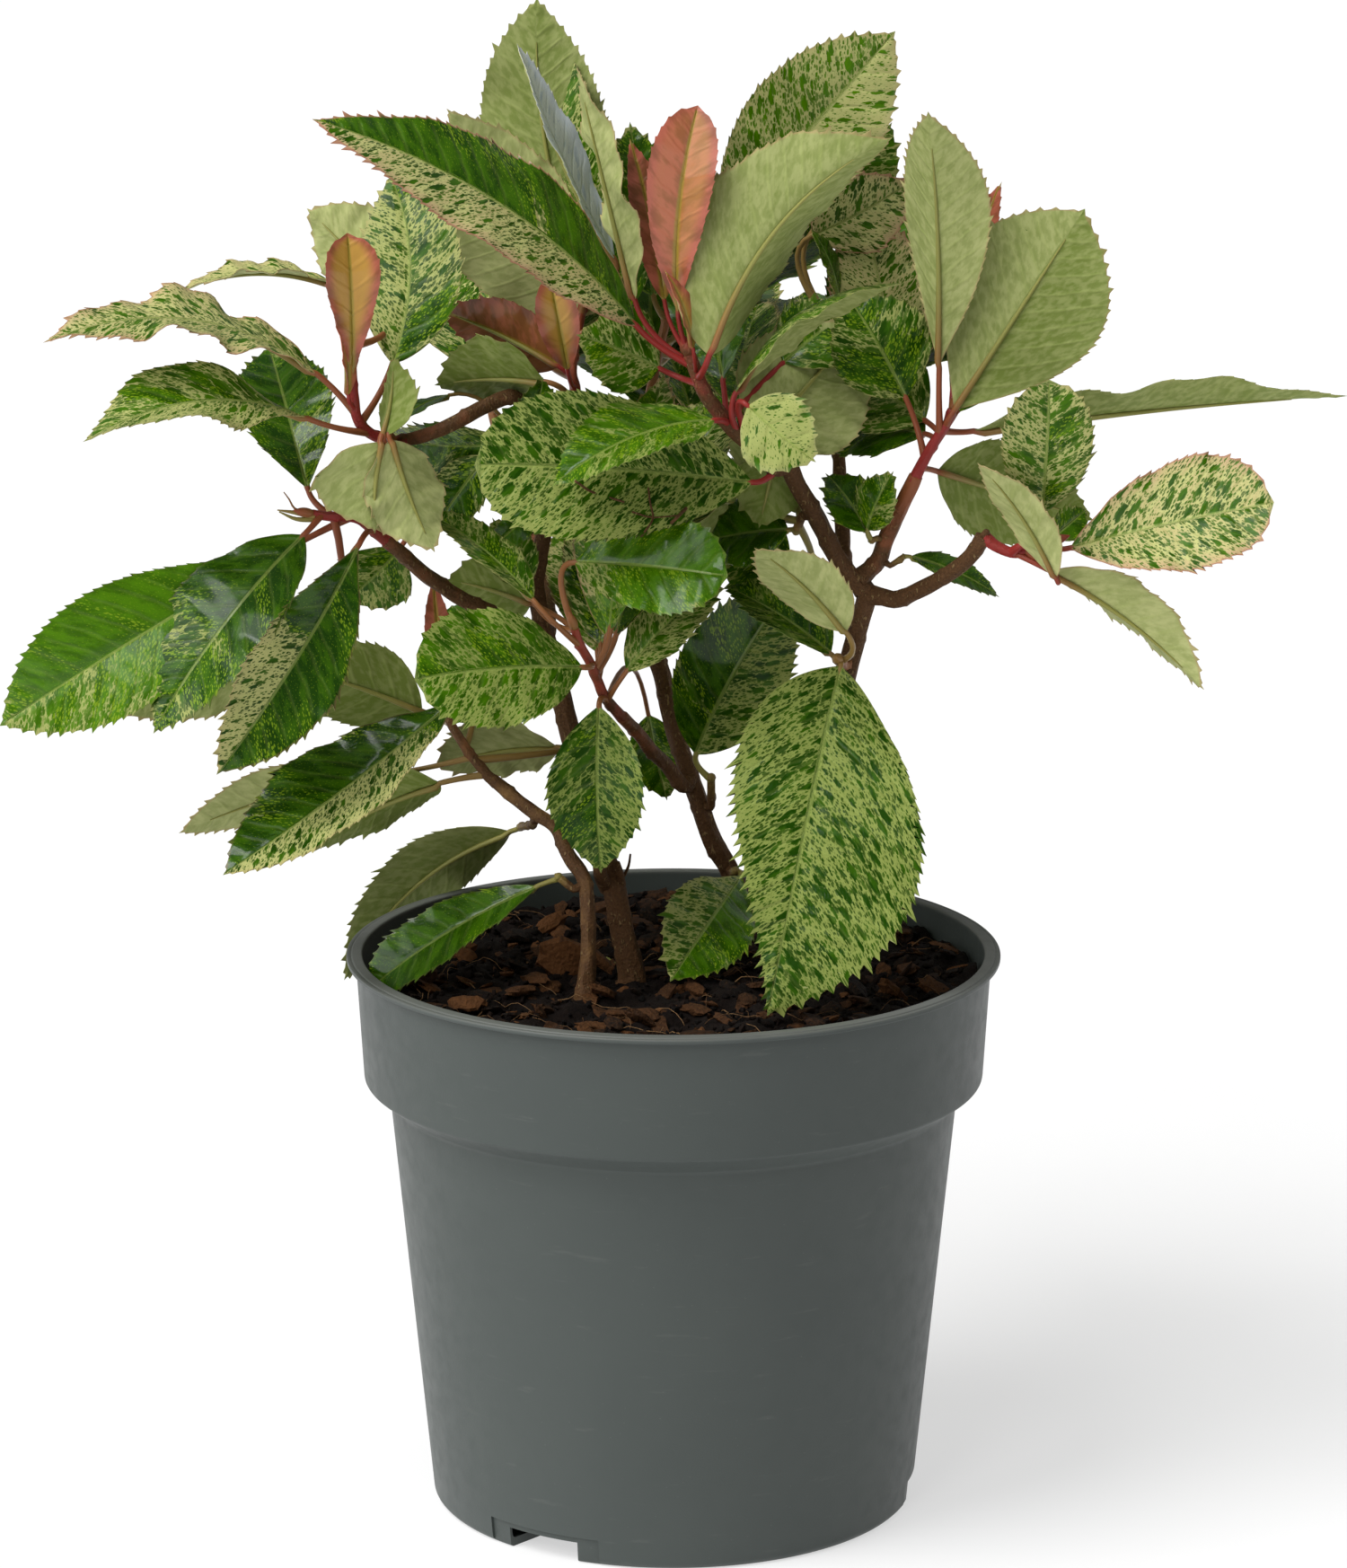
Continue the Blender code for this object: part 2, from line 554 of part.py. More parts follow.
def pot_profile():
    """Radius and height round the pot's section: up the inside, over the lip and down the outside."""
    lip_foot = POT_HEIGHT - LIP_HEIGHT
    inner = [
        (0, POT_BASE), (wall_radius(POT_BASE) - POT_WALL, POT_BASE),
        (NECK_RADIUS - POT_WALL, NECK_HEIGHT), (COLLAR_FOOT_RADIUS - POT_WALL, COLLAR_FOOT + 0.003),
        (COLLAR_TOP_RADIUS - POT_WALL, POT_HEIGHT - 0.0005),
    ]
    outer = [
        (LIP_RADIUS - 0.0011, POT_HEIGHT), (LIP_RADIUS, POT_HEIGHT - 0.0012),
        (LIP_RADIUS - 0.0007, lip_foot + 0.001), (COLLAR_TOP_RADIUS, lip_foot - 0.0015),
        (COLLAR_FOOT_RADIUS, COLLAR_FOOT), (COLLAR_FOOT_RADIUS - 0.0024, COLLAR_FOOT - 0.0032),
        (NECK_RADIUS + 0.0022, NECK_HEIGHT), (NECK_RADIUS, NECK_HEIGHT - 0.0018),
        (FOOT_RADIUS, FOOT_ROUND), (FOOT_RADIUS - FOOT_ROUND, 0), (0, 0),
    ]
    return inner + outer


def sector(name, angle, spread, radii, heights):
    """A block of a ring between two radii and two heights, its ends leaning with the pot's wall."""
    steps = 4
    slope = (NECK_RADIUS - FOOT_RADIUS) / NECK_HEIGHT
    verts, faces = [], []
    for i in range(steps + 1):
        turn = math.radians(angle + spread * (i / steps - 0.5))
        for end, z in ((0, 0), (1, 0), (1, 1), (0, 1)):
            radius = radii[end] + slope * heights[z]
            verts.append((radius * math.cos(turn), radius * math.sin(turn), heights[z]))
    for i in range(steps):
        for k in range(4):
            a, b = 4 * i + k, 4 * i + (k + 1) % 4
            faces.append((a, b, b + 4, a + 4))
    faces += [(3, 2, 1, 0), tuple(range(4 * steps, 4 * steps + 4))]
    block = add_mesh(name, verts, faces, bpy.data.materials["pot_plastic"])
    block.hide_render = True
    block.display_type = "WIRE"
    return block


def shape(obj, operation, block):
    modifier = obj.modifiers.new(block.name, "BOOLEAN")
    modifier.operation = operation
    modifier.solver = "EXACT"
    modifier.object = block


def build_pot():
    """The turned wall and base, with three drain tunnels, each opening in a shallow panel at the foot."""
    finish = material("pot_plastic", (0.085, 0.1, 0.1), 0.45)
    profile = pot_profile()
    mesh = bpy.data.meshes.new("pot")
    mesh.from_pydata([(r, 0, z) for r, z in profile], [(i, i + 1) for i in range(len(profile) - 1)], [])
    mesh.materials.append(finish)
    pot = bpy.data.objects.new("pot", mesh)
    bpy.context.scene.collection.objects.link(pot)
    turn = pot.modifiers.new("turn", "SCREW")
    turn.angle = 2 * math.pi
    turn.steps = turn.render_steps = POT_SIDES
    turn.use_merge_vertices = True
    turn.merge_threshold = 0.00001
    turn.use_smooth_shade = False
    outside = FOOT_RADIUS + 0.02
    roof_spread = SLOT_SPREAD + 2 * math.degrees(TUNNEL_WALL / FOOT_RADIUS)
    for i, angle in enumerate(SLOT_ANGLES):
        roof = sector(f"tunnel_roof_{i}", angle, roof_spread,
                      (SLOT_END - TUNNEL_WALL, FOOT_RADIUS - POT_WALL * 0.6),
                      (POT_BASE * 0.4, SLOT_HEIGHT + TUNNEL_WALL))
        panel = sector(f"panel_cutter_{i}", angle, PANEL_SPREAD,
                       (FOOT_RADIUS - PANEL_DEPTH, outside), (-0.004, PANEL_HEIGHT))
        slot = sector(f"slot_cutter_{i}", angle, SLOT_SPREAD, (SLOT_END, outside), (-0.004, SLOT_HEIGHT))
        shape(pot, "UNION", roof)
        shape(pot, "DIFFERENCE", panel)
        shape(pot, "DIFFERENCE", slot)
    return pot


def compost_height(x, y, feet):
    """Low waves, flat where a stem stands."""
    bump = math.sin(x * 210 + 1.3) * math.cos(y * 170 + 0.4) + 0.6 * math.sin(x * 390 - y * 310)
    nearest = min(math.hypot(x - fx, y - fy) for fx, fy in feet)
    clear = min(1.0, max(0.0, (nearest - STEM_CLEARING) / STEM_CLEARING))
    return COMPOST_TOP + COMPOST_BUMP * 0.5 * (bump + 0.9) * clear


def inner_radius(height):
    """The pot's inner radius at a height, less the gap that its flat sides need."""
    profile = [(z, r) for r, z in pot_profile()[1:5]]
    facets = 1 - math.cos(math.pi / POT_SIDES)
    radius = np.interp(height, [z for z, _ in profile], [r for _, r in profile])
    return radius * (1 - facets) - GAP


def build_compost(feet):
    """The compost that fills the pot: wavy on top, clear of the wall and of the drain tunnels."""
    foot = SLOT_HEIGHT + TUNNEL_WALL + GAP
    top = inner_radius(COMPOST_TOP)
    rings = [(top * (i + 1) / COMPOST_RINGS, None) for i in range(COMPOST_RINGS)]
    rings += [(inner_radius(z), z) for z in (COMPOST_TOP - 0.006, COLLAR_FOOT + 0.003, NECK_HEIGHT, foot)]
    verts = [(0, 0, compost_height(0, 0, feet))]
    for radius, level in rings:
        for k in range(COMPOST_SIDES):
            turn = 2 * math.pi * k / COMPOST_SIDES
            x, y = radius * math.cos(turn), radius * math.sin(turn)
            verts.append((x, y, compost_height(x, y, feet) if level is None else level))
    faces = [(0, 1 + k, 1 + (k + 1) % COMPOST_SIDES) for k in range(COMPOST_SIDES)]
    for i in range(len(rings) - 1):
        for k in range(COMPOST_SIDES):
            a, b = 1 + i * COMPOST_SIDES + k, 1 + i * COMPOST_SIDES + (k + 1) % COMPOST_SIDES
            faces.append((a, a + COMPOST_SIDES, b + COMPOST_SIDES, b))
    last = 1 + (len(rings) - 1) * COMPOST_SIDES
    faces.append(tuple(last + k for k in range(COMPOST_SIDES)))
    return add_mesh("compost", verts, faces, material("compost", (0.05, 0.03, 0.02), 0.95))


def view_of(point):
    """Where a point shows in the viewer's frame: the reverse of seen."""
    cos, sin = math.cos(VIEW_PITCH), math.sin(VIEW_PITCH)
    x, y, z = point - VIEWER
    ahead = y * cos - z * sin
    return VIEW_CENTRE[0] + VIEW_FOCAL * x / ahead, VIEW_CENTRE[1] - VIEW_FOCAL * (y * sin + z * cos) / ahead


def in_core(point):
    """Whether a point shows inside the CORE outline, by counting its sides to the point's right."""
    across, down = view_of(point)
    inside = False
    for (x0, y0), (x1, y1) in zip(CORE, CORE[1:] + CORE[:1]):
        if (y0 > down) != (y1 > down) and across < x0 + (x1 - x0) * (down - y0) / (y1 - y0):
            inside = not inside
    return inside


def nearest_on(path, point):
    """Index of the path's vertex nearest to a point."""
    return int(np.argmin(np.linalg.norm(path - point, axis=1)))


class Plant:
    """The limbs and masses, built in order, each kept clear of what stands already."""

    def __init__(self):
        self.paths = {}
        self.trees = []
        self.front = []
        self.skipped = []

    def start(self, parent, from_tip, first, radius):
        """The first two points of a limb or twig, 0.3 mm clear of its parent's tip or side."""
        path, radii = self.paths[parent]
        if from_tip:
            ahead = unit(path[-1] - path[-2])
            begin = path[-1] + ahead * GAP
            return [begin, begin + ahead * max(radius, 1 * MM)]
        i = nearest_on(path, first)
        along = unit(path[min(i + 1, len(path) - 1)] - path[max(i - 1, 0)])
        out = first - path[i]
        out = unit(out - along * np.dot(out, along))
        begin = path[i] + out * (radii[i] + GAP)
        return [begin, begin + out * max(radius, 1 * MM)]

    def ground(self, foot, radius):
        """The compost's greatest height under a stem's foot."""
        tree = dict(self.trees)["compost"]
        turns = np.arange(12) * math.pi / 6
        under = [foot[:2] + 1.1 * radius * np.array([math.cos(turn), math.sin(turn)]) for turn in turns]
        return max(tree.ray_cast(Vector((x, y, 1)), Vector((0, 0, -1)))[0].z for x, y in under)

    def grow_limb(self, limb, finish):
        points = [seen(*place) for place in limb.places]
        radii = [radius * MM for radius in limb.radii]
        if limb.parent:
            points = self.start(limb.parent, limb.from_tip, points[0], radii[0]) + points[1:]
            radii = [radii[0]] + radii
        else:
            points[0][2] = self.ground(points[0], radii[0]) + GAP
            points.insert(1, points[0] + np.array([0, 0, 2.5 * MM]))
            radii.insert(1, radii[0] * 0.86)
        path, place = smooth_path(points, LIMB_STEP)
        widths = np.interp(place, range(len(radii)), radii)
        self.paths[limb.name] = (path, widths)
        verts, faces = tube(path, widths, LIMB_SIDES)
        self.trees.append((limb.name, tree_of(verts, faces)))
        add_mesh(limb.name, verts, faces, finish)

    def grow_twig(self, mass):
        """The mass's twig, as a path that its leaves' stalks leave from."""
        points = [seen(*place) for place in mass.twig]
        radii = [mass.radii[0] * MM, mass.radii[1] * MM]
        points = self.start(mass.parent, mass.from_tip, points[0], radii[0]) + points[1:]
        path, place = smooth_path(points, LIMB_STEP)
        widths = np.interp(place, [0, len(points) - 1], radii)
        self.paths[mass.name] = (path, widths)
        verts, faces = tube(path, widths, TWIG_SIDES)
        hit = self.touches(mass.name, verts, faces)
        if hit:
            self.skipped.append(f"{mass.name} twig runs into {'+'.join(hit)}")
        self.trees.append((mass.name, tree_of(verts, faces)))
        return verts, faces

    def touches(self, name, verts, faces):
        """Names of what a leaf would run into, other than its own mass."""
        tree = tree_of(verts, faces)
        return [other for other, solid in self.trees if other != name and tree.overlap(solid)]

    def stalk_root(self, mass, at):
        """The point on the mass's twig this far along it."""
        path, _ = self.paths[mass.name]
        steps = np.linalg.norm(np.diff(path, axis=0), axis=1)
        run = np.concatenate([[0], np.cumsum(steps)]) / steps.sum()
        return np.array([np.interp(at, run, path[:, axis]) for axis in range(3)])

    def place(self, mass, blade, root, apart=False):
        """The leaf's mesh if it stands clear of the limbs and of the other masses.

        A leaf that grows apart also has its blade clear of the leaves of its own mass.
        """
        verts, faces = leaf_mesh(blade, root, extra=GAP)
        hit = self.touches(mass.name, verts, faces)
        if apart and not hit:
            past_stalk = [face for face in faces if min(face) >= 4 * len(PETIOLE_STATIONS)]
            hit = self.touches("", verts, past_stalk)
        if hit:
            return None, hit
        verts, faces = leaf_mesh(blade, root)
        self.trees.append((mass.name, tree_of(verts, faces)))
        return (verts, faces), hit

    def front_leaves(self, mass):
        """The leaves seen from the front, each at the first depth where it stands clear."""
        made = []
        for number, leaf in enumerate(mass.leaves):
            root = self.stalk_root(mass, leaf.at)
            blockers = []
            for nudge in NUDGES:
                mesh, hit = self.place(mass, blade_of(leaf, nudge), root)
                if mesh:
                    made.append(mesh)
                    self.front.append(tree_of(*mesh))
                    break
                blockers.append(f"{nudge}:{'+'.join(hit)}")
            else:
                self.skipped.append(f"{mass.name}[{number}] {' '.join(blockers)}")
            if mesh and blockers:
                self.skipped.append(f"{mass.name}[{number}] moved to {nudge} after {' '.join(blockers)}")
        return made

    def hidden(self, blade):
        """Whether every part of a leaf lies behind a front leaf, or shows in the core before none."""
        u, v = np.meshgrid([0.03, 0.25, 0.5, 0.75, 0.97], [-1.08, 0, 1.08])
        for point in blade.point(u.ravel(), v.ravel()):
            ray = Vector(unit(VIEWER - point))
            near, far = Vector(point) + ray * MM, Vector(point) - ray * MM
            if any(tree.ray_cast(near, ray)[0] for tree in self.front):
                continue
            if not in_core(point) or any(tree.ray_cast(far, -ray)[0] for tree in self.front):
                return False
        return True

    def back_leaves(self, mass, random):
        """Leaves set round the twig by the golden angle, kept only where they hide behind the front ones."""
        made = []
        path, _ = self.paths[mass.name]
        ahead = unit(path[-1] - path[0])
        beside = unit(np.cross(ahead, [0.1, 1.0, 0.2]))
        behind = np.cross(ahead, beside)
        for number in range(TRIES):
            turn = number * GOLDEN_ANGLE + random.uniform(-0.3, 0.3)
            lean = math.radians(random.uniform(25, 85))
            length = random.uniform(58, 88) * MM
            ratio, arch = random.uniform(0.38, 0.46), random.uniform(0.03, 0.12)
            root = self.stalk_root(mass, 0.25 + 0.72 * ((number * 0.618) % 1.0))
            out = math.cos(turn) * beside + math.sin(turn) * behind
            aim = unit(math.cos(lean) * ahead + math.sin(lean) * out + np.array([0, 0.45, -0.08]))
            base = root + aim * 13 * MM
            normal = unit(ahead + np.array([0, 0, 0.6]))
            normal = unit(normal - aim * np.dot(normal, aim))
            blade = Blade(base, base + aim * length, normal, normal * arch * length,
                          length * ratio / 2, math.radians(12), 0.0, False, 0.8, 0.0)
            mesh = self.hidden(blade) and self.place(mass, blade, root, apart=True)[0]
            if mesh:
                made.append(mesh)
            if len(made) == mass.behind:
                break
        return made


def drop_scraps(mesh):
    """Leaves only the island with the most faces: not a sealed hollow's skin, nor a loose scrap."""
    shape = bmesh.new()
    shape.from_mesh(mesh)
    waiting = set(shape.faces)
    islands = []
    while waiting:
        edge_of_island = [waiting.pop()]
        island = set(edge_of_island)
        while edge_of_island:
            face = edge_of_island.pop()
            near = {other for edge in face.edges for other in edge.link_faces} & waiting
            waiting -= near
            island |= near
            edge_of_island.extend(near)
        islands.append(island)
    islands.sort(key=len)
    bmesh.ops.delete(shape, geom=[face for island in islands[:-1] for face in island], context="FACES")
    shape.to_mesh(mesh)
    shape.free()


def union(name, pieces, finish):
    """One closed body from overlapping closed pieces."""
    group = bpy.data.collections.new(name + "_pieces")
    bpy.context.scene.collection.children.link(group)
    whole = add_mesh(name, *pieces[0], finish)
    for number, (verts, faces) in enumerate(pieces[1:]):
        add_mesh(f"{name}_piece_{number}", verts, faces, finish, group)
    if pieces[1:]:
        join = whole.modifiers.new("join", "BOOLEAN")
        join.operation = "UNION"
        join.operand_type = "COLLECTION"
        join.collection = group
        join.solver = "EXACT"
        join.use_self = True
        graph = bpy.context.evaluated_depsgraph_get()
        joined = bpy.data.meshes.new_from_object(whole.evaluated_get(graph))
        whole.modifiers.clear()
        whole.data = joined
        drop_scraps(joined)
    for piece in list(group.objects):
        bpy.data.objects.remove(piece)
    bpy.data.collections.remove(group)
    return whole


def evaluated_tree(obj):
    graph = bpy.context.evaluated_depsgraph_get()
    return BVHTree.FromObject(obj, graph)


def grow(plant):
    """Limbs, then every twig, then the front leaves, then those behind; returns each mass's pieces."""
    bark = material("bark", (0.13, 0.08, 0.05), 0.8)
    for limb in LIMBS:
        plant.grow_limb(limb, bark)
    pieces = {mass.name: [plant.grow_twig(mass)] for mass in MASSES}
    for mass in MASSES:
        pieces[mass.name] += plant.front_leaves(mass)
    random = np.random.default_rng(SEED)
    for mass in MASSES:
        pieces[mass.name] += plant.back_leaves(mass, random)
    return pieces


def main():
    for obj in list(bpy.data.objects):
        bpy.data.objects.remove(obj)
    feet = [seen(*limb.places[0])[:2] for limb in LIMBS if not limb.parent]
    plant = Plant()
    pot = build_pot()
    compost = build_compost(feet)
    plant.trees += [("pot", evaluated_tree(pot)), ("compost", evaluated_tree(compost))]
    foliage = material("foliage", (0.16, 0.24, 0.06), 0.5)
    for name, pieces in grow(plant).items():
        union(name, pieces, foliage)
        print(name, len(pieces) - 1, "leaves")
    for line in plant.skipped:
        print("  ", line)
    return plant


if __name__ == "__main__":
    main()
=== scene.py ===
"""The looks of a potted photinia with marbled leaves, in metres, +Z up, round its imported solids.

The plant is grown again by the rule of its solids: limbs, a twig for each mass of foliage, the
leaves that show from the front, then those behind. Each leaf takes the place that its solid has.
"""
import json
import logging
import math
from dataclasses import dataclass, field, replace
from enum import Enum
from typing import Optional

import bpy
import numpy as np
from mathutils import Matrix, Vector
from mathutils.kdtree import KDTree

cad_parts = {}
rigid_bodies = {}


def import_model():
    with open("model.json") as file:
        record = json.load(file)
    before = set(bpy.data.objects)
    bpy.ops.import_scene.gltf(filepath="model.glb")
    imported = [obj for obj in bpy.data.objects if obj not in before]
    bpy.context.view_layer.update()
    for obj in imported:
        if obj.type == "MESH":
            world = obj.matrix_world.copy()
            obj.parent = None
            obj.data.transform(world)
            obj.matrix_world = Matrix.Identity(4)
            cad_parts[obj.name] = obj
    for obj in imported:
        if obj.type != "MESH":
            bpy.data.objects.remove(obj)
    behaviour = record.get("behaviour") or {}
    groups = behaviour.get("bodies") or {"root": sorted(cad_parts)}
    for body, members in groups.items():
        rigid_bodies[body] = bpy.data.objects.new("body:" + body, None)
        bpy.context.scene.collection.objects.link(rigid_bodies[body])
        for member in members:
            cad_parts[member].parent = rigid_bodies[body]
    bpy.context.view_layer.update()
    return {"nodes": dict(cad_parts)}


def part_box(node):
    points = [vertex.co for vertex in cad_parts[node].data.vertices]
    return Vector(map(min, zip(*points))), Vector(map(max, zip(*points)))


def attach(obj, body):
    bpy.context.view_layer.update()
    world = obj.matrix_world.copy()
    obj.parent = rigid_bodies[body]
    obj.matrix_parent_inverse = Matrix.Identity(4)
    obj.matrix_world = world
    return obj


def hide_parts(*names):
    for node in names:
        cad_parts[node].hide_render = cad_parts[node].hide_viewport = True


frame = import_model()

LOG = logging.getLogger("photinia")
Array = np.ndarray
Socket = bpy.types.NodeSocket
MM = 0.001
GAP = 0.3 * MM
LIFT = 0.4 * MM
TURN = 2 * math.pi
ROOT = "root"
GOLDEN_ANGLE = math.radians(137.5)


@dataclass(frozen=True)
class View:
    """The photograph's frame: where the viewer stands, and how the picture spreads."""

    distance: float = 1.71
    height: float = 0.631
    pitch: float = math.radians(13.7)
    focal: float = 6785.0
    centre: tuple[float, float] = (750.0, 873.0)
    tall: float = 1746.0
    sensor: float = 36.0

    @property
    def eye(self) -> Array:
        """The viewer's place."""
        return np.array([0.0, -self.distance, self.height])

    def seen(self, across: float, down: float, behind: float) -> Array:
        """The point that shows at a place in the picture.

        The ray through the place is followed to a plane that faces the viewer.

        Args:
            across: pixels from the left.
            down: pixels from the top.
            behind: millimetres behind the pot's axis.

        Returns:
            The point, in metres.
        """
        cos, sin = math.cos(self.pitch), math.sin(self.pitch)
        right = (across - self.centre[0]) / self.focal
        up = (self.centre[1] - down) / self.focal
        ray = np.array([right, cos + up * sin, up * cos - sin])
        return self.eye + ray * (behind * MM + self.distance) / ray[1]


VIEW = View()


def unit(vector: Array) -> Array:
    """The vector, or each of several, at length one."""
    return vector / np.linalg.norm(vector, axis=-1, keepdims=True)


def ease(low: float, high: float, value: Array) -> Array:
    """A smooth step from 0 at low to 1 at high: 3t² - 2t³ of the clipped share t."""
    share = np.clip((value - low) / (high - low), 0, 1)
    return share * share * (3 - 2 * share)


def smooth_path(points: list[Array], step: float) -> tuple[Array, Array]:
    """A Catmull-Rom curve through the points.

    Between two points it is the cubic that leaves and enters along the chords of their neighbours.

    Args:
        points: the places to pass through.
        step: the length of a stretch, about.

    Returns:
        The curve's points, and where each lies among the given ones.
    """
    points = np.array(points)
    if len(points) == 2:
        return points, np.array([0.0, 1.0])
    padded = np.vstack([2 * points[0] - points[1], points, 2 * points[-1] - points[-2]])
    path, place = [], []
    for i in range(len(points) - 1):
        a, b, c, d = padded[i : i + 4]
        count = max(1, round(np.linalg.norm(c - b) / step))
        t = (np.arange(count) / count)[:, None]
        path.append(0.5 * (2 * b + (c - a) * t + (2 * a - 5 * b + 4 * c - d) * t**2
                           + (3 * b - a - 3 * c + d) * t**3))
        place.append(i + t[:, 0])
    path.append(points[-1:])
    place.append(np.array([len(points) - 1.0]))
    return np.concatenate(path), np.concatenate(place)


def run_of(path: Array) -> Array:
    """The length along a path at each of its points."""
    return np.concatenate([[0], np.cumsum(np.linalg.norm(np.diff(path, axis=0), axis=1))])


def tangents_of(path: Array) -> Array:
    """The direction at each point of a path."""
    return unit(np.gradient(path, axis=0))


@dataclass
class Patch:
    """A closed surface in the making: points, four- and three-sided faces, and values at each point."""

    points: Array
    quads: Array
    tris: Array
    values: dict[str, Array] = field(default_factory=dict)


def loft(rings: Array, start: Array, end: Array, values: Optional[dict[str, Array]] = None) -> Patch:
    """A closed skin over rings of points, with a fan to one point at each end.

    Args:
        rings: rings by sides by three, each ring turning the same way about the direction of travel.
        start: the point before the first ring.
        end: the point after the last ring.
        values: for each name, rings by sides by three values.

    Returns:
        The patch, facing outwards.
    """
    count, sides = rings.shape[:2]
    points = np.concatenate([rings.reshape(-1, 3), start[None], end[None]])
    k = np.arange(sides)
    after = (k + 1) % sides
    base = (np.arange(count - 1) * sides)[:, None]
    quads = np.stack([base + k, base + after, base + after + sides, base + k + sides], -1).reshape(-1, 4)
    first, last = count * sides, count * sides + 1
    tail = (count - 1) * sides
    tris = np.concatenate([np.stack([after, k, np.full(sides, first)], -1),
                           np.stack([tail + k, tail + after, np.full(sides, last)], -1)])
    packed = {name: np.concatenate([value.reshape(-1, 3), value[0].mean(0)[None], value[-1].mean(0)[None]])
              for name, value in (values or {}).items()}
    return Patch(points, quads, tris, packed)


def tube(path: Array, radii: Array, sides: int, relief: Optional[Array] = None,
         values: Optional[dict[str, Array]] = None) -> Patch:
    """A round tube along a path: each ring is a circle square to the path.

    The circles start from the one direction that the path runs along least, so they don't twist.

    Args:
        path: the middle line.
        radii: the radius at each of its points.
        sides: points round a ring.
        relief: rings by sides, added to the radius.
        values: values for each ring, as rings by three.

    Returns:
        The tube as a patch.
    """
    along = tangents_of(path)
    rest = np.linalg.svd(along)[2][-1]
    side = unit(rest - along * (along @ rest)[:, None])
    other = np.cross(along, side)
    turn = TURN * np.arange(sides) / sides
    reach = radii[:, None] + (0 if relief is None else relief)
    spoke = np.cos(turn)[None, :, None] * side[:, None] + np.sin(turn)[None, :, None] * other[:, None]
    rings = path[:, None] + reach[..., None] * spoke
    spread = {name: np.repeat(value[:, None], sides, 1) for name, value in (values or {}).items()}
    start = path[0] - along[0] * radii[0] * 0.3
    end = path[-1] + along[-1] * radii[-1] * 0.5
    return loft(rings, start, end, spread)


def join(patches: list[Patch]) -> Patch:
    """Several patches as one: their lists end to end, with each face's numbers moved on."""
    starts = np.cumsum([0] + [len(p.points) for p in patches[:-1]])
    return Patch(
        np.concatenate([p.points for p in patches]),
        np.concatenate([p.quads + s for p, s in zip(patches, starts)]),
        np.concatenate([p.tris + s for p, s in zip(patches, starts)]),
        {name: np.concatenate([p.values[name] for p in patches]) for name in patches[0].values},
    )


def make_piece(name: str, patch: Patch, finish: bpy.types.Material, nodes: tuple[str, ...] = (),
               crease: float = 60.0) -> bpy.types.Object:
    """A piece of the plant from a patch, riding on its body.

    Args:
        name: the piece's name.
        patch: its surface and values, which become attributes.
        finish: its material.
        nodes: the solids that it stands for.
        crease: edges sharper than this many degrees aren't smoothed.

    Returns:
        The object.
    """
    mesh = bpy.data.meshes.new(name)
    mesh.vertices.add(len(patch.points))
    mesh.vertices.foreach_set("co", patch.points.astype(np.float32).ravel())
    corners = np.concatenate([patch.quads.ravel(), patch.tris.ravel()]).astype(np.int32)
    starts = np.concatenate([np.arange(len(patch.quads)) * 4,
                             len(patch.quads) * 4 + np.arange(len(patch.tris)) * 3]).astype(np.int32)
    mesh.loops.add(len(corners))
    mesh.loops.foreach_set("vertex_index", corners)
    mesh.polygons.add(len(starts))
    mesh.polygons.foreach_set("loop_start", starts)
    for key, value in patch.values.items():
        layer = mesh.attributes.new(key, "FLOAT_VECTOR", "POINT")
        layer.data.foreach_set("vector", value.astype(np.float32).ravel())
    mesh.update(calc_edges=True)
    mesh.validate()
    mesh.shade_smooth()
    mesh.set_sharp_from_angle(angle=math.radians(crease))
    mesh.materials.append(finish)
    return dress(bpy.data.objects.new(name, mesh), nodes)


def dress(piece: bpy.types.Object, nodes: tuple[str, ...]) -> bpy.types.Object:
    """Links a finished piece, rides it on the body and hides the solids that it stands for.

    Args:
        piece: the object.
        nodes: the solids that it stands for.

    Returns:
        The same object.
    """
    if piece.name not in bpy.context.scene.collection.objects:
        bpy.context.scene.collection.objects.link(piece)
    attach(piece, ROOT)
    if nodes:
        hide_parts(*nodes)
    LOG.info("%s: %d faces", piece.name, len(piece.data.polygons))
    return piece


def meeting(piece: bpy.types.Object, across: float, down: float) -> Array:
    """Where the ray through a place in the picture meets a piece.

    Args:
        piece: what it should meet.
        across: pixels from the left.
        down: pixels from the top.

    Returns:
        The point just before the piece, or one by the pot's axis where the ray misses.
    """
    behind = VIEW.seen(across, down, 0.0)
    met, point, _, _ = piece.ray_cast(VIEW.eye, unit(behind - VIEW.eye))
    return np.array(point) + unit(VIEW.eye - np.array(point)) * LIFT if met else behind


def hue(code: str) -> tuple[float, float, float, float]:
    """The linear colour of six hexadecimal digits, by the display's own curve."""
    parts = np.array([int(code[i : i + 2], 16) for i in (0, 2, 4)]) / 255
    linear = np.where(parts <= 0.04045, parts / 12.92, ((parts + 0.055) / 1.055) ** 2.4)
    return (*(float(part) for part in linear), 1.0)


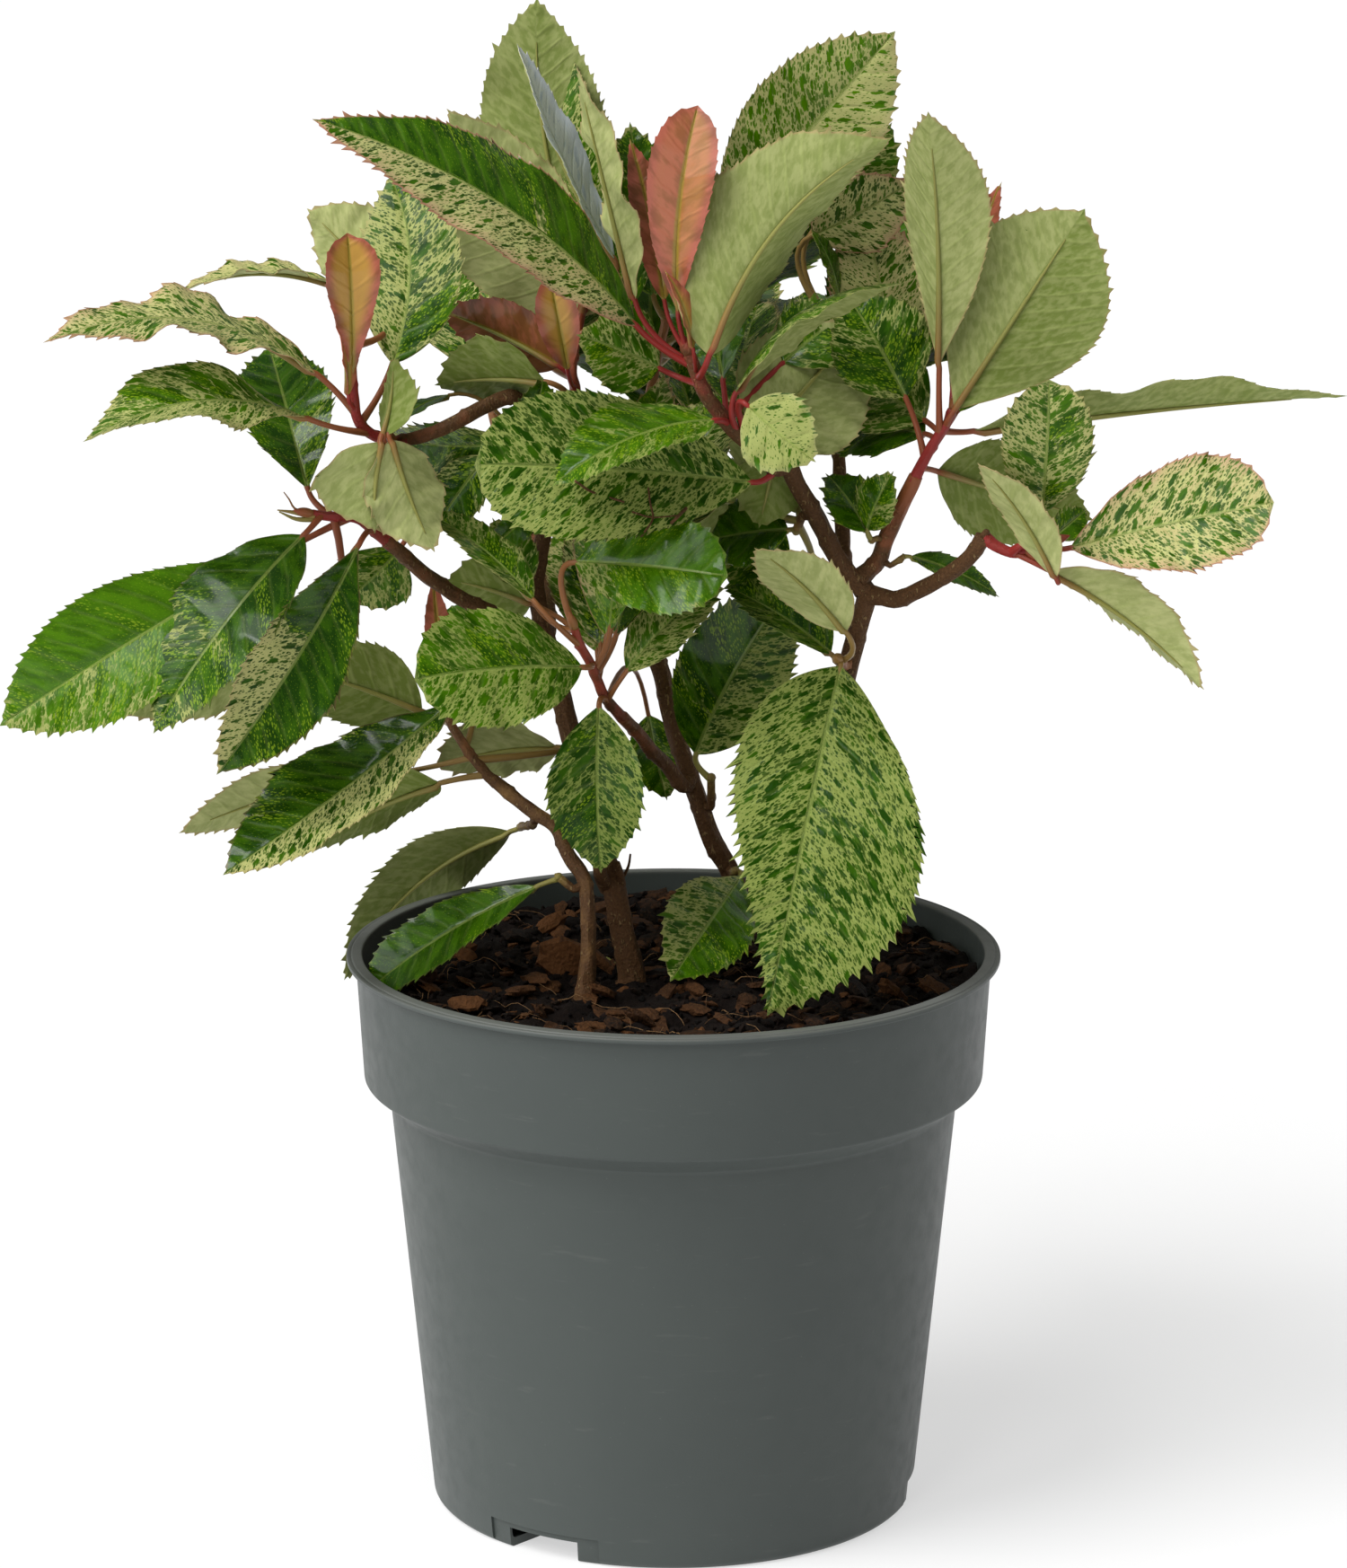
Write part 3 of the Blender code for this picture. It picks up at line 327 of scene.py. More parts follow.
class Graph:
    """A node tree that is being wired. Each method adds one node and returns its output."""

    def __init__(self, tree: bpy.types.NodeTree) -> None:
        """Holds the tree."""
        self.tree = tree

    def add(self, kind: str, inputs: dict, output: int | str = 0, **settings: object) -> Socket:
        """One node, with its inputs linked or set.

        Args:
            kind: the node's type.
            inputs: a socket or a constant for each input's name or number.
            output: which output to return.
            **settings: the node's own properties.

        Returns:
            The output.
        """
        node = self.tree.nodes.new(kind)
        for key, value in settings.items():
            setattr(node, key, value)
        for key, value in inputs.items():
            if isinstance(value, bpy.types.NodeSocket):
                self.tree.links.new(value, node.inputs[key])
            else:
                node.inputs[key].default_value = value
        return node.outputs[output]

    def math(self, operation: str, a: object, b: object = 0.0, clamp: bool = False) -> Socket:
        """A sum on one or two numbers."""
        return self.add("ShaderNodeMath", {0: a, 1: b}, operation=operation, use_clamp=clamp)

    def step(self, value: Socket, low: float, high: float, start: float = 0.0, end: float = 1.0) -> Socket:
        """A smooth step of the value from start at low to end at high."""
        return self.add("ShaderNodeMapRange", {"Value": value, "From Min": low, "From Max": high,
                                               "To Min": start, "To Max": end},
                        interpolation_type="SMOOTHSTEP")

    def mix(self, share: object, a: object, b: object) -> Socket:
        """Colour a, with this share of colour b."""
        return self.add("ShaderNodeMix", {0: share, 6: a, 7: b}, 2, data_type="RGBA")

    def blend(self, share: object, a: object, b: object) -> Socket:
        """Number a, with this share of number b."""
        return self.add("ShaderNodeMix", {0: share, 2: a, 3: b}, 0, data_type="FLOAT")

    def scaled(self, vector: Socket, by: tuple[float, float, float]) -> Socket:
        """The vector with each part multiplied."""
        return self.add("ShaderNodeVectorMath", {0: vector, 1: by}, operation="MULTIPLY")

    def noise(self, vector: Socket, scale: float, detail: float = 3.0, rough: float = 0.55) -> Socket:
        """Cloudy noise from 0 to 1."""
        return self.add("ShaderNodeTexNoise", {"Vector": vector, "Scale": scale, "Detail": detail,
                                               "Roughness": rough})

    def blobs(self, vector: Socket, reach: object, spread: float = 0.5) -> tuple[Socket, Socket]:
        """Scattered round blobs of uneven size, about one to each unit square of the vector's plane.

        A point is inside where its distance to the nearest centre is less than that centre's own reach.

        Args:
            vector: the place, whose third part is left out.
            reach: the largest reach.
            spread: the smallest reach's share of the largest is 1 less this.

        Returns:
            The blobs from 0 to 1, and a random number that each blob has.
        """
        node = self.tree.nodes.new("ShaderNodeTexVoronoi")
        node.voronoi_dimensions = "2D"
        node.inputs["Scale"].default_value = 1.0
        self.tree.links.new(vector, node.inputs["Vector"])
        size, chance, _ = self.parts(node.outputs["Color"])
        own = self.math("MULTIPLY", reach, self.math("SUBTRACT", 1.0, self.math("MULTIPLY", size, spread)))
        return self.step(self.math("SUBTRACT", own, node.outputs["Distance"]), -0.05, 0.05), chance

    def cells(self, vector: Socket, scale: float) -> Socket:
        """The distance to the nearest of scattered points."""
        return self.add("ShaderNodeTexVoronoi", {"Vector": vector, "Scale": scale})

    def place(self) -> Socket:
        """The object's own coordinates."""
        return self.add("ShaderNodeTexCoord", {}, "Object")

    def attribute(self, name: str) -> Socket:
        """A vector that the mesh carries."""
        return self.add("ShaderNodeAttribute", {}, "Vector", attribute_name=name)

    def parts(self, vector: Socket) -> tuple[Socket, Socket, Socket]:
        """The three parts of a vector."""
        node = self.tree.nodes.new("ShaderNodeSeparateXYZ")
        self.tree.links.new(vector, node.inputs[0])
        return node.outputs[0], node.outputs[1], node.outputs[2]

    def bump(self, height: Socket, distance: float, strength: float = 1.0) -> Socket:
        """A normal that follows a height, in metres for a height of one."""
        return self.add("ShaderNodeBump", {"Height": height, "Distance": distance, "Strength": strength})

    def group(self, tree: bpy.types.NodeTree, inputs: dict) -> bpy.types.Node:
        """A group node, with its inputs linked or set."""
        node = self.tree.nodes.new("ShaderNodeGroup")
        node.node_tree = tree
        for key, value in inputs.items():
            if isinstance(value, bpy.types.NodeSocket):
                self.tree.links.new(value, node.inputs[key])
            else:
                node.inputs[key].default_value = value
        return node


def new_group(name: str, inputs: dict[str, str], outputs: dict[str, str]) -> tuple[Graph, bpy.types.Node,
                                                                                bpy.types.Node]:
    """An empty shader group with named sockets.

    Args:
        name: the group's name.
        inputs: each input's name and kind.
        outputs: each output's name and kind.

    Returns:
        Its graph, its input node and its output node.
    """
    tree = bpy.data.node_groups.new(name, "ShaderNodeTree")
    for way, sockets in (("INPUT", inputs), ("OUTPUT", outputs)):
        for key, kind in sockets.items():
            tree.interface.new_socket(name=key, in_out=way, socket_type="NodeSocket" + kind)
    return Graph(tree), tree.nodes.new("NodeGroupInput"), tree.nodes.new("NodeGroupOutput")


def marbling_group() -> bpy.types.NodeTree:
    """The marbling of a leaf, stretched along its side veins.

    Broad sectors decide between pale and green ground. Pale ground has dark flecks and, further
    apart, dark blotches, and green ground has light flecks. All are fewer and smaller deep inside
    their ground, so one ground goes over into the other in streaks. The inputs are the place
    along and across the veins, and the share of pale ground.
    """
    g, into, out = new_group("marbling", {"Vein": "Vector", "Cream": "Float"},
                             {"Pale": "Float", "Light": "Float", "Cloud": "Float"})
    vein, cream = into.outputs["Vein"], into.outputs["Cream"]
    _, _, apart = g.parts(vein)
    sector = g.noise(g.scaled(vein, (24.0, 90.0, 0.7)), 1.0, 1.0, 0.5)
    cloud = g.noise(g.scaled(vein, (120.0, 260.0, 2.1)), 1.0, 3.0, 0.6)
    ragged = g.noise(g.scaled(vein, (420.0, 900.0, 1.3)), 1.0, 2.0, 0.6)
    swing = g.step(cream, 0.55, 1.0, 1.9, 0.5)
    level = g.math("ADD", g.math("SUBTRACT", cream, 0.5),
                   g.math("MULTIPLY", g.math("SUBTRACT", sector, 0.5), swing))
    level = g.math("ADD", level, g.math("MULTIPLY", g.math("SUBTRACT", cloud, 0.5), 0.35))
    ground = g.step(g.math("ADD", level, g.math("MULTIPLY", g.math("SUBTRACT", ragged, 0.5), 0.55)), -0.02, 0.03)
    seat = g.add("ShaderNodeCombineXYZ", {0: g.math("MULTIPLY", apart, 3.1), 1: g.math("MULTIPLY", apart, 1.7)})
    bent = g.add("ShaderNodeCombineXYZ", {0: g.math("MULTIPLY", ragged, 0.9), 1: g.math("MULTIPLY", cloud, 1.1)})
    seat = g.add("ShaderNodeVectorMath", {0: seat, 1: bent}, operation="ADD")

    def strewn(along: float, across: float, reach: object) -> tuple[Socket, Socket]:
        """Blobs at this many to the metre along and across the veins."""
        place = g.add("ShaderNodeVectorMath", {0: g.scaled(vein, (along, across, 0.0)), 1: seat}, operation="ADD")
        return g.blobs(place, reach, 0.75)

    fleck, dark = strewn(620.0, 1050.0, g.step(level, 0.0, 1.0, 0.78, 0.2))
    blotch, _ = strewn(150.0, 300.0, g.step(level, 0.0, 0.7, 0.55, 0.32))
    light, _ = strewn(700.0, 1300.0, g.step(level, -0.42, 0.0, 0.12, 0.55))
    dot, _ = strewn(1150.0, 1900.0, g.step(level, 0.0, 0.9, 0.6, 0.15))
    fleck = g.math("MULTIPLY", fleck, g.math("ADD", g.math("MULTIPLY", dark, 0.25), 0.75))
    plain = g.math("MULTIPLY", g.math("SUBTRACT", 1.0, fleck), g.math("SUBTRACT", 1.0, blotch))
    plain = g.math("MULTIPLY", plain, g.math("SUBTRACT", 1.0, g.math("MULTIPLY", dot, 0.35)))
    g.tree.links.new(g.math("MULTIPLY", ground, plain), out.inputs["Pale"])
    g.tree.links.new(g.math("MULTIPLY", light, g.math("SUBTRACT", 1.0, ground)), out.inputs["Light"])
    g.tree.links.new(g.step(cloud, 0.36, 0.64), out.inputs["Cloud"])
    return g.tree


def ribs_group() -> bpy.types.NodeTree:
    """The side veins and the net between them, from the place along and across the veins."""
    g, into, out = new_group("ribs", {"Vein": "Vector", "Rib": "Float", "Edge": "Float"},
                             {"Side": "Float", "Net": "Float", "Mid": "Float"})
    _, across, _ = g.parts(into.outputs["Vein"])
    warp = g.noise(g.scaled(into.outputs["Vein"], (160.0, 160.0, 1.0)), 1.0, 1.0)
    phase = g.math("ADD", g.math("DIVIDE", across, 0.0062), g.math("MULTIPLY", warp, 0.35))
    saw = g.math("ABSOLUTE", g.math("SUBTRACT", g.math("FRACT", phase), 0.5))
    fade = g.step(into.outputs["Edge"], 0.05, 0.35)
    side = g.math("MULTIPLY", g.step(saw, 0.0, 0.16, 1.0, 0.0), fade)
    net = g.step(g.cells(g.scaled(into.outputs["Vein"], (900.0, 700.0, 1.0)), 1.0), 0.1, 0.75)
    mid = g.step(into.outputs["Rib"], 0.55, 1.2, 1.0, 0.0)
    for name, value in (("Side", side), ("Net", net), ("Mid", mid)):
        g.tree.links.new(value, out.inputs[name])
    return g.tree


def mottle_group() -> bpy.types.NodeTree:
    """Two sizes of cloud in the object's own space, for colour and roughness that aren't even."""
    g, into, out = new_group("mottle", {"Scale": "Float"}, {"Broad": "Float", "Fine": "Float"})
    place = g.place()
    broad = g.add("ShaderNodeTexNoise", {"Vector": place, "Scale": into.outputs["Scale"], "Detail": 3.0})
    fine = g.add("ShaderNodeTexNoise", {"Vector": place, "Detail": 4.0,
                                        "Scale": g.math("MULTIPLY", into.outputs["Scale"], 9.0)})
    g.tree.links.new(broad, out.inputs["Broad"])
    g.tree.links.new(fine, out.inputs["Fine"])
    return g.tree


@dataclass(frozen=True)
class Effects:
    """The shader groups that several finishes share."""

    marbling: bpy.types.NodeTree
    ribs: bpy.types.NodeTree
    mottle: bpy.types.NodeTree


def new_material(name: str, **constants: float) -> tuple[bpy.types.Material, Graph, bpy.types.Node]:
    """A material with one Principled BSDF.

    Args:
        name: the material's name.
        **constants: values for the shader's sockets, with _ for a space.

    Returns:
        The material, its graph and its shader.
    """
    made = bpy.data.materials.new(name)
    made.use_nodes = True
    shader = made.node_tree.nodes["Principled BSDF"]
    for key, value in constants.items():
        shader.inputs[key.replace("_", " ")].default_value = value
    return made, Graph(made.node_tree), shader


@dataclass(frozen=True)
class LeafFinish:
    """Grown leaves: glossy marbled green above, pale and matt below, a pink rim on the cream, and a painted
    reflection where cream's share passes 1.4.
    """

    deep: str = "1c3f00"
    bright: str = "4f7f00"
    middle: str = "7d9a1c"
    leafy: str = "7b8c3e"
    cream: str = "babc78"
    blush: str = "c09a7c"
    painted_reflection: str = "dde8ec"
    rib: str = "9cac58"
    rim: str = "a8785f"
    below: str = "6f7f38"
    below_pale: str = "b4b87c"
    below_rib: str = "a3ad68"

    def make(self, effects: Effects) -> bpy.types.Material:
        """The material, reading the leaf's vein, skin and form attributes.

        Args:
            effects: the shared groups.

        Returns:
            The material.
        """
        made, g, shader = new_material("grown_leaf", Specular_IOR_Level=0.11, Coat_Roughness=0.12)
        vein = g.attribute("vein")
        cream, pink, under = g.parts(g.attribute("skin"))
        edge, rib, tone = g.parts(g.attribute("form"))
        marble = g.group(effects.marbling, {"Vein": vein, "Cream": cream}).outputs
        ribs = g.group(effects.ribs, {"Vein": vein, "Rib": rib, "Edge": edge}).outputs
        cloud = marble["Cloud"]
        green = g.mix(g.math("ADD", g.math("MULTIPLY", g.math("SUBTRACT", cloud, 0.5), 0.45), tone, True),
                      hue(self.deep), hue(self.bright))
        green = g.mix(g.math("MULTIPLY", marble["Light"], 0.75), green, hue(self.middle))
        near_rim = g.step(edge, 0.0, 0.5, 1.0, 0.0)
        flush = g.math("MULTIPLY", pink, pink)
        rosy = g.math("MULTIPLY", flush, g.math("ADD", g.math("MULTIPLY", near_rim, 0.8),
                                                g.math("MULTIPLY", cloud, 0.5)), True)
        ground = g.mix(g.step(pink, 0.05, 0.5), hue(self.leafy), hue(self.cream))
        upper = g.mix(marble["Pale"], green, g.mix(rosy, ground, hue(self.blush)))
        # Painted reflection: where cream's share passes 1.4, the upper side turns to a flat pale blue grey, fully by
        # 1.9.
        upper = g.mix(g.step(cream, 1.4, 1.9), upper, hue(self.painted_reflection))
        upper = g.mix(g.math("MULTIPLY", ribs["Side"], 0.08), upper, hue(self.rib))
        upper = g.mix(g.math("MULTIPLY", ribs["Mid"], 0.42), upper, hue(self.rib))
        pale = g.math("MULTIPLY", g.blend(0.8, cloud, 0.75), g.math("ADD", g.math("MULTIPLY", cream, 0.8), 0.1), True)
        soft = g.step(g.noise(g.scaled(vein, (380.0, 420.0, 1.0)), 1.0, 3.0), 0.38, 0.64, -0.16, 0.14)
        lower = g.mix(g.math("ADD", pale, soft, True), hue(self.below), hue(self.below_pale))
        lower = g.mix(g.math("MULTIPLY", ribs["Side"], 0.3), lower, hue(self.below_rib))
        both = g.mix(under, upper, lower)
        at_rim = g.math("MULTIPLY", g.step(edge, 0.0, 0.07, 1.0, 0.0), g.math("MULTIPLY", flush, 1.6), True)
        self.link(g, g.mix(at_rim, both, hue(self.rim)), shader, "Base Color")
        gloss = g.blend(under, g.blend(marble["Pale"], g.step(cloud, 0.2, 0.8, 0.26, 0.34), 0.46), 0.62)
        self.link(g, gloss, shader, "Roughness")
        waxy = g.math("MULTIPLY", g.math("SUBTRACT", 1.0, under), g.blend(marble["Pale"], 0.32, 0.0))
        waxy = g.math("MULTIPLY", waxy, g.step(cream, 0.2, 0.75, 1.0, 0.1))
        self.link(g, waxy, shader, "Coat Weight")
        relief = g.math("ADD", g.math("MULTIPLY", ribs["Side"], g.blend(under, -0.7, 0.5)),
                        g.math("MULTIPLY", ribs["Net"], g.blend(under, 0.16, 0.08)))
        self.link(g, g.bump(relief, 0.00035, 0.6), shader, "Normal")
        return made

    @staticmethod
    def link(g: Graph, value: Socket, shader: bpy.types.Node, name: str) -> None:
        """Feeds one of the shader's sockets."""
        g.tree.links.new(value, shader.inputs[name])


@dataclass(frozen=True)
class YoungFinish:
    """Young leaves: waxy, rose red at the rim and orange to yellow green along the middle."""

    rose: str = "b0604c"
    dark: str = "7a4528"
    amber: str = "b88c3e"
    rib: str = "94862c"

    def make(self, effects: Effects) -> bpy.types.Material:
        """The material, reading the same attributes as grown leaves.

        Args:
            effects: the shared groups.

        Returns:
            The material.
        """
        made, g, shader = new_material("young_leaf", Roughness=0.4, Specular_IOR_Level=0.2, Coat_Weight=0.45,
                                       Coat_Roughness=0.12)
        vein = g.attribute("vein")
        amber, _, _ = g.parts(g.attribute("skin"))
        edge, rib, tone = g.parts(g.attribute("form"))
        ribs = g.group(effects.ribs, {"Vein": vein, "Rib": rib, "Edge": edge}).outputs
        cloud = g.noise(g.scaled(vein, (140.0, 240.0, 1.0)), 1.0, 3.0)
        red = g.mix(g.math("SUBTRACT", g.step(cloud, 0.35, 0.65, 0.1, 1.1), g.math("MULTIPLY", tone, 0.5), True),
                    hue(self.rose), hue(self.dark))
        inner = g.math("MULTIPLY", g.step(edge, 0.05, 0.45), amber, True)
        colour = g.mix(inner, red, hue(self.amber))
        colour = g.mix(g.math("MULTIPLY", g.step(rib, 0.6, 2.6, 1.0, 0.0), 0.75), colour, hue(self.rib))
        g.tree.links.new(colour, shader.inputs["Base Color"])
        g.tree.links.new(g.bump(g.math("ADD", ribs["Side"], g.math("MULTIPLY", cloud, 1.5)), 0.0003, 0.6),
                         shader.inputs["Normal"])
        return made


@dataclass(frozen=True)
class BarkFinish:
    """Bark: brown and finely furrowed with pale pores where it is old, red to green where it is young.

    The mesh's bark attribute holds age, redness and how far along the limb a point is.
    """

    name: str = "bark"
    old: str = "35200e"
    worn: str = "6e4c2c"
    pore: str = "a08458"
    red: str = "8c2c28"
    green: str = "8b8a48"

    def make(self, effects: Effects) -> bpy.types.Material:
        """The material, reading the bark attribute and the object's own coordinates.

        Args:
            effects: the shared groups.

        Returns:
            The material.
        """
        made, g, shader = new_material(self.name, Specular_IOR_Level=0.25)
        age, redness, _ = g.parts(g.attribute("bark"))
        clouds = g.group(effects.mottle, {"Scale": 160.0}).outputs
        place = g.place()
        pores = g.step(g.noise(g.scaled(place, (1.0, 1.0, 0.4)), 900.0, 2.0), 0.6, 0.68)
        brown = g.mix(clouds["Fine"], hue(self.old), hue(self.worn))
        brown = g.mix(g.math("MULTIPLY", pores, 0.55), brown, hue(self.pore))
        young = g.mix(redness, hue(self.green), hue(self.red))
        colour = g.mix(g.step(g.math("ADD", age, g.math("SUBTRACT", clouds["Broad"], 0.5)), 0.25, 0.75),
                       young, brown)
        g.tree.links.new(colour, shader.inputs["Base Color"])
        g.tree.links.new(g.blend(age, 0.38, 0.72), shader.inputs["Roughness"])
        height = g.math("ADD", g.math("MULTIPLY", clouds["Fine"], 0.8), g.math("MULTIPLY", pores, 0.7))
        g.tree.links.new(g.bump(g.math("MULTIPLY", height, age), 0.0009, 0.9), shader.inputs["Normal"])
        return made


@dataclass(frozen=True)
class PotFinish:
    """Moulded plastic in slate grey: satin, with a fine grain, faint scuffs, and a painted highlight that makes the
    top of the lip paler.
    """

    body: str = "434947"
    pale: str = "4a504d"
    # Pale dust for specks and scuffs, also the colour of the painted highlight on the lip.
    dust_and_highlight: str = "777873"
    # Heights where the painted lip highlight starts and where it is full.
    lip_highlight_from: float = 0.1636
    lip_highlight_to: float = 0.1648

    def make(self, effects: Effects) -> bpy.types.Material:
        """The material, in the object's own coordinates.

        Args:
            effects: the shared groups.

        Returns:
            The material.
        """
        made, g, shader = new_material("pot_plastic", Specular_IOR_Level=0.3)
        place = g.place()
        clouds = g.group(effects.mottle, {"Scale": 22.0}).outputs
        specks = g.step(g.cells(place, 300.0), 0.03, 0.07, 1.0, 0.0)
        scuff = g.step(g.noise(g.scaled(place, (1.0, 1.0, 7.0)), 60.0, 4.0), 0.62, 0.74)
        grain = g.noise(place, 1800.0, 2.0)
        colour = g.mix(clouds["Broad"], hue(self.body), hue(self.pale))
        colour = g.mix(g.math("MULTIPLY", specks, 0.22), colour, hue(self.dust_and_highlight))
        colour = g.mix(g.math("MULTIPLY", scuff, 0.12), colour, hue(self.dust_and_highlight))
        # Painted highlight: the top of the lip, from 163.6 to 164.8 mm up, is mixed half way to the dust colour.
        lip_highlight = g.step(g.parts(place)[2], self.lip_highlight_from, self.lip_highlight_to)
        colour = g.mix(g.math("MULTIPLY", lip_highlight, 0.5), colour, hue(self.dust_and_highlight))
        g.tree.links.new(colour, shader.inputs["Base Color"])
        g.tree.links.new(g.step(g.math("ADD", clouds["Fine"], g.math("MULTIPLY", scuff, 0.3)),
                                0.2, 1.0, 0.42, 0.58), shader.inputs["Roughness"])
        g.tree.links.new(g.bump(g.math("ADD", grain, g.math("MULTIPLY", clouds["Broad"], 2.0)),
                                0.00006, 0.7), shader.inputs["Normal"])
        return made


@dataclass(frozen=True)
class PeatFinish:
    """Damp peat, bark chips or fibres: one dark and one light tone, dealt out by the mesh's tone value."""

    name: str
    dark: str
    light: str
    rough: float
    grain: float

    def make(self, effects: Effects) -> bpy.types.Material:
        """The material, reading the tone attribute and the object's own coordinates.

        Args:
            effects: the shared groups.

        Returns:
            The material.
        """
        made, g, shader = new_material(self.name, Specular_IOR_Level=0.15)
        tone, _, _ = g.parts(g.attribute("tone"))
        clouds = g.group(effects.mottle, {"Scale": self.grain}).outputs
        share = g.math("ADD", tone, g.math("MULTIPLY", g.math("SUBTRACT", clouds["Fine"], 0.5), 0.9), True)
        g.tree.links.new(g.mix(share, hue(self.dark), hue(self.light)), shader.inputs["Base Color"])
        g.tree.links.new(g.step(clouds["Broad"], 0.2, 0.8, self.rough - 0.15, self.rough),
                         shader.inputs["Roughness"])
        g.tree.links.new(g.bump(clouds["Fine"], 0.0012, 0.9), shader.inputs["Normal"])
        return made


@dataclass(frozen=True)
class Dress:
    """How a leaf is coloured and how it waves.

    left and right are cream's share of each half, seen facing the tip from above, and edge is
    added towards the rim. A share past 1.4 turns the upper side to a painted reflection colour.
    pink blushes the cream, tone goes from deep to bright green, and wave is
    how far the rim swings, in millimetres. spine lengthens the rim's teeth. Cream keeps off the
    blade up to start, in parts of its length.
    """

    left: float = 0.45
    right: float = 0.45
    edge: float = 0.15
    pink: float = 0.25
    tone: float = 0.35
    wave: float = 0.8
    young: bool = False
    spine: float = 1.0
    start: float = 0.0


class Skin(Enum):
    """The kinds of leaf that the plant has."""

    MARBLED = Dress(0.62, 0.62)
    CREAM = Dress(1.05, 1.05, pink=0.75)
    PALE = Dress(1.2, 1.2, pink=0.5)
    FLECKED = Dress(0.35, 0.35, 0.3)
    GREEN = Dress(0.02, 0.02, 0.15, tone=0.3)
    LEFT = Dress(0.72, 0.1, 0.2)
    RIGHT = Dress(0.1, 0.72, 0.2)
    RED = Dress(0.25, 0.25, young=True, tone=0.8, wave=0.8, spine=0.5)
    DARK_RED = Dress(0.1, 0.1, young=True, tone=0.2, wave=0.6, spine=0.5)
    ORANGE = Dress(1.0, 1.0, young=True, tone=0.8, wave=1.2, spine=0.4)


@dataclass(frozen=True)
class Limb:
    """A stem or bough: places in the picture and the radius in millimetres at each.

    age goes from 1, old brown bark, to 0, young and red, at its first and last place.
    """

    name: str
    places: tuple
    radii: tuple
    parent: str = ""
    from_tip: bool = False
    age: tuple[float, float] = (1.0, 0.8)
    red: float = 0.75


@dataclass(frozen=True)
class Leaf:
    """One leaf, in the terms of its solid, with its skin.

    Base and tip are places in the picture. width is in millimetres. face turns the upper side
    away from the viewer, arch and bow bend the midrib, fold raises both halves and twist turns
    the tip, in degrees or parts of the length. at is the place on the twig, and the more rise,
    the nearer to its tip a blade is widest. skew narrows one half towards the tip and widens the
    other.
    """

    base: tuple
    tip: tuple
    width: float
    face: float
    at: float = 0.5
    arch: float = 0.06
    bow: float = 0.0
    fold: float = 12.0
    twist: float = 0.0
    blunt: bool = False
    rise: float = 0.8
    skew: float = 0.0
    skin: Skin = Skin.MARBLED
    wave: Optional[float] = None
    left: Optional[float] = None
    right: Optional[float] = None
    pink: Optional[float] = None
    tone: Optional[float] = None
    spine: Optional[float] = None
    start: Optional[float] = None

    def worn(self) -> Dress:
        """The skin's dress, with this leaf's own values in place of the skin's."""
        own = {name: getattr(self, name) for name in ("wave", "left", "right", "pink", "tone", "spine", "start")}
        return replace(self.skin.value, **{name: value for name, value in own.items() if value is not None})


@dataclass(frozen=True)
class Mass:
    """One mass of foliage: its twig, the leaves that show, and how many may grow behind."""

    name: str
    parent: str
    from_tip: bool
    twig: tuple
    leaves: tuple
    radii: tuple = (1.7, 1.2)
    behind: int = 0
    age: tuple[float, float] = (0.45, 0.1)
    red: float = 0.4
    stout: float = 1.0


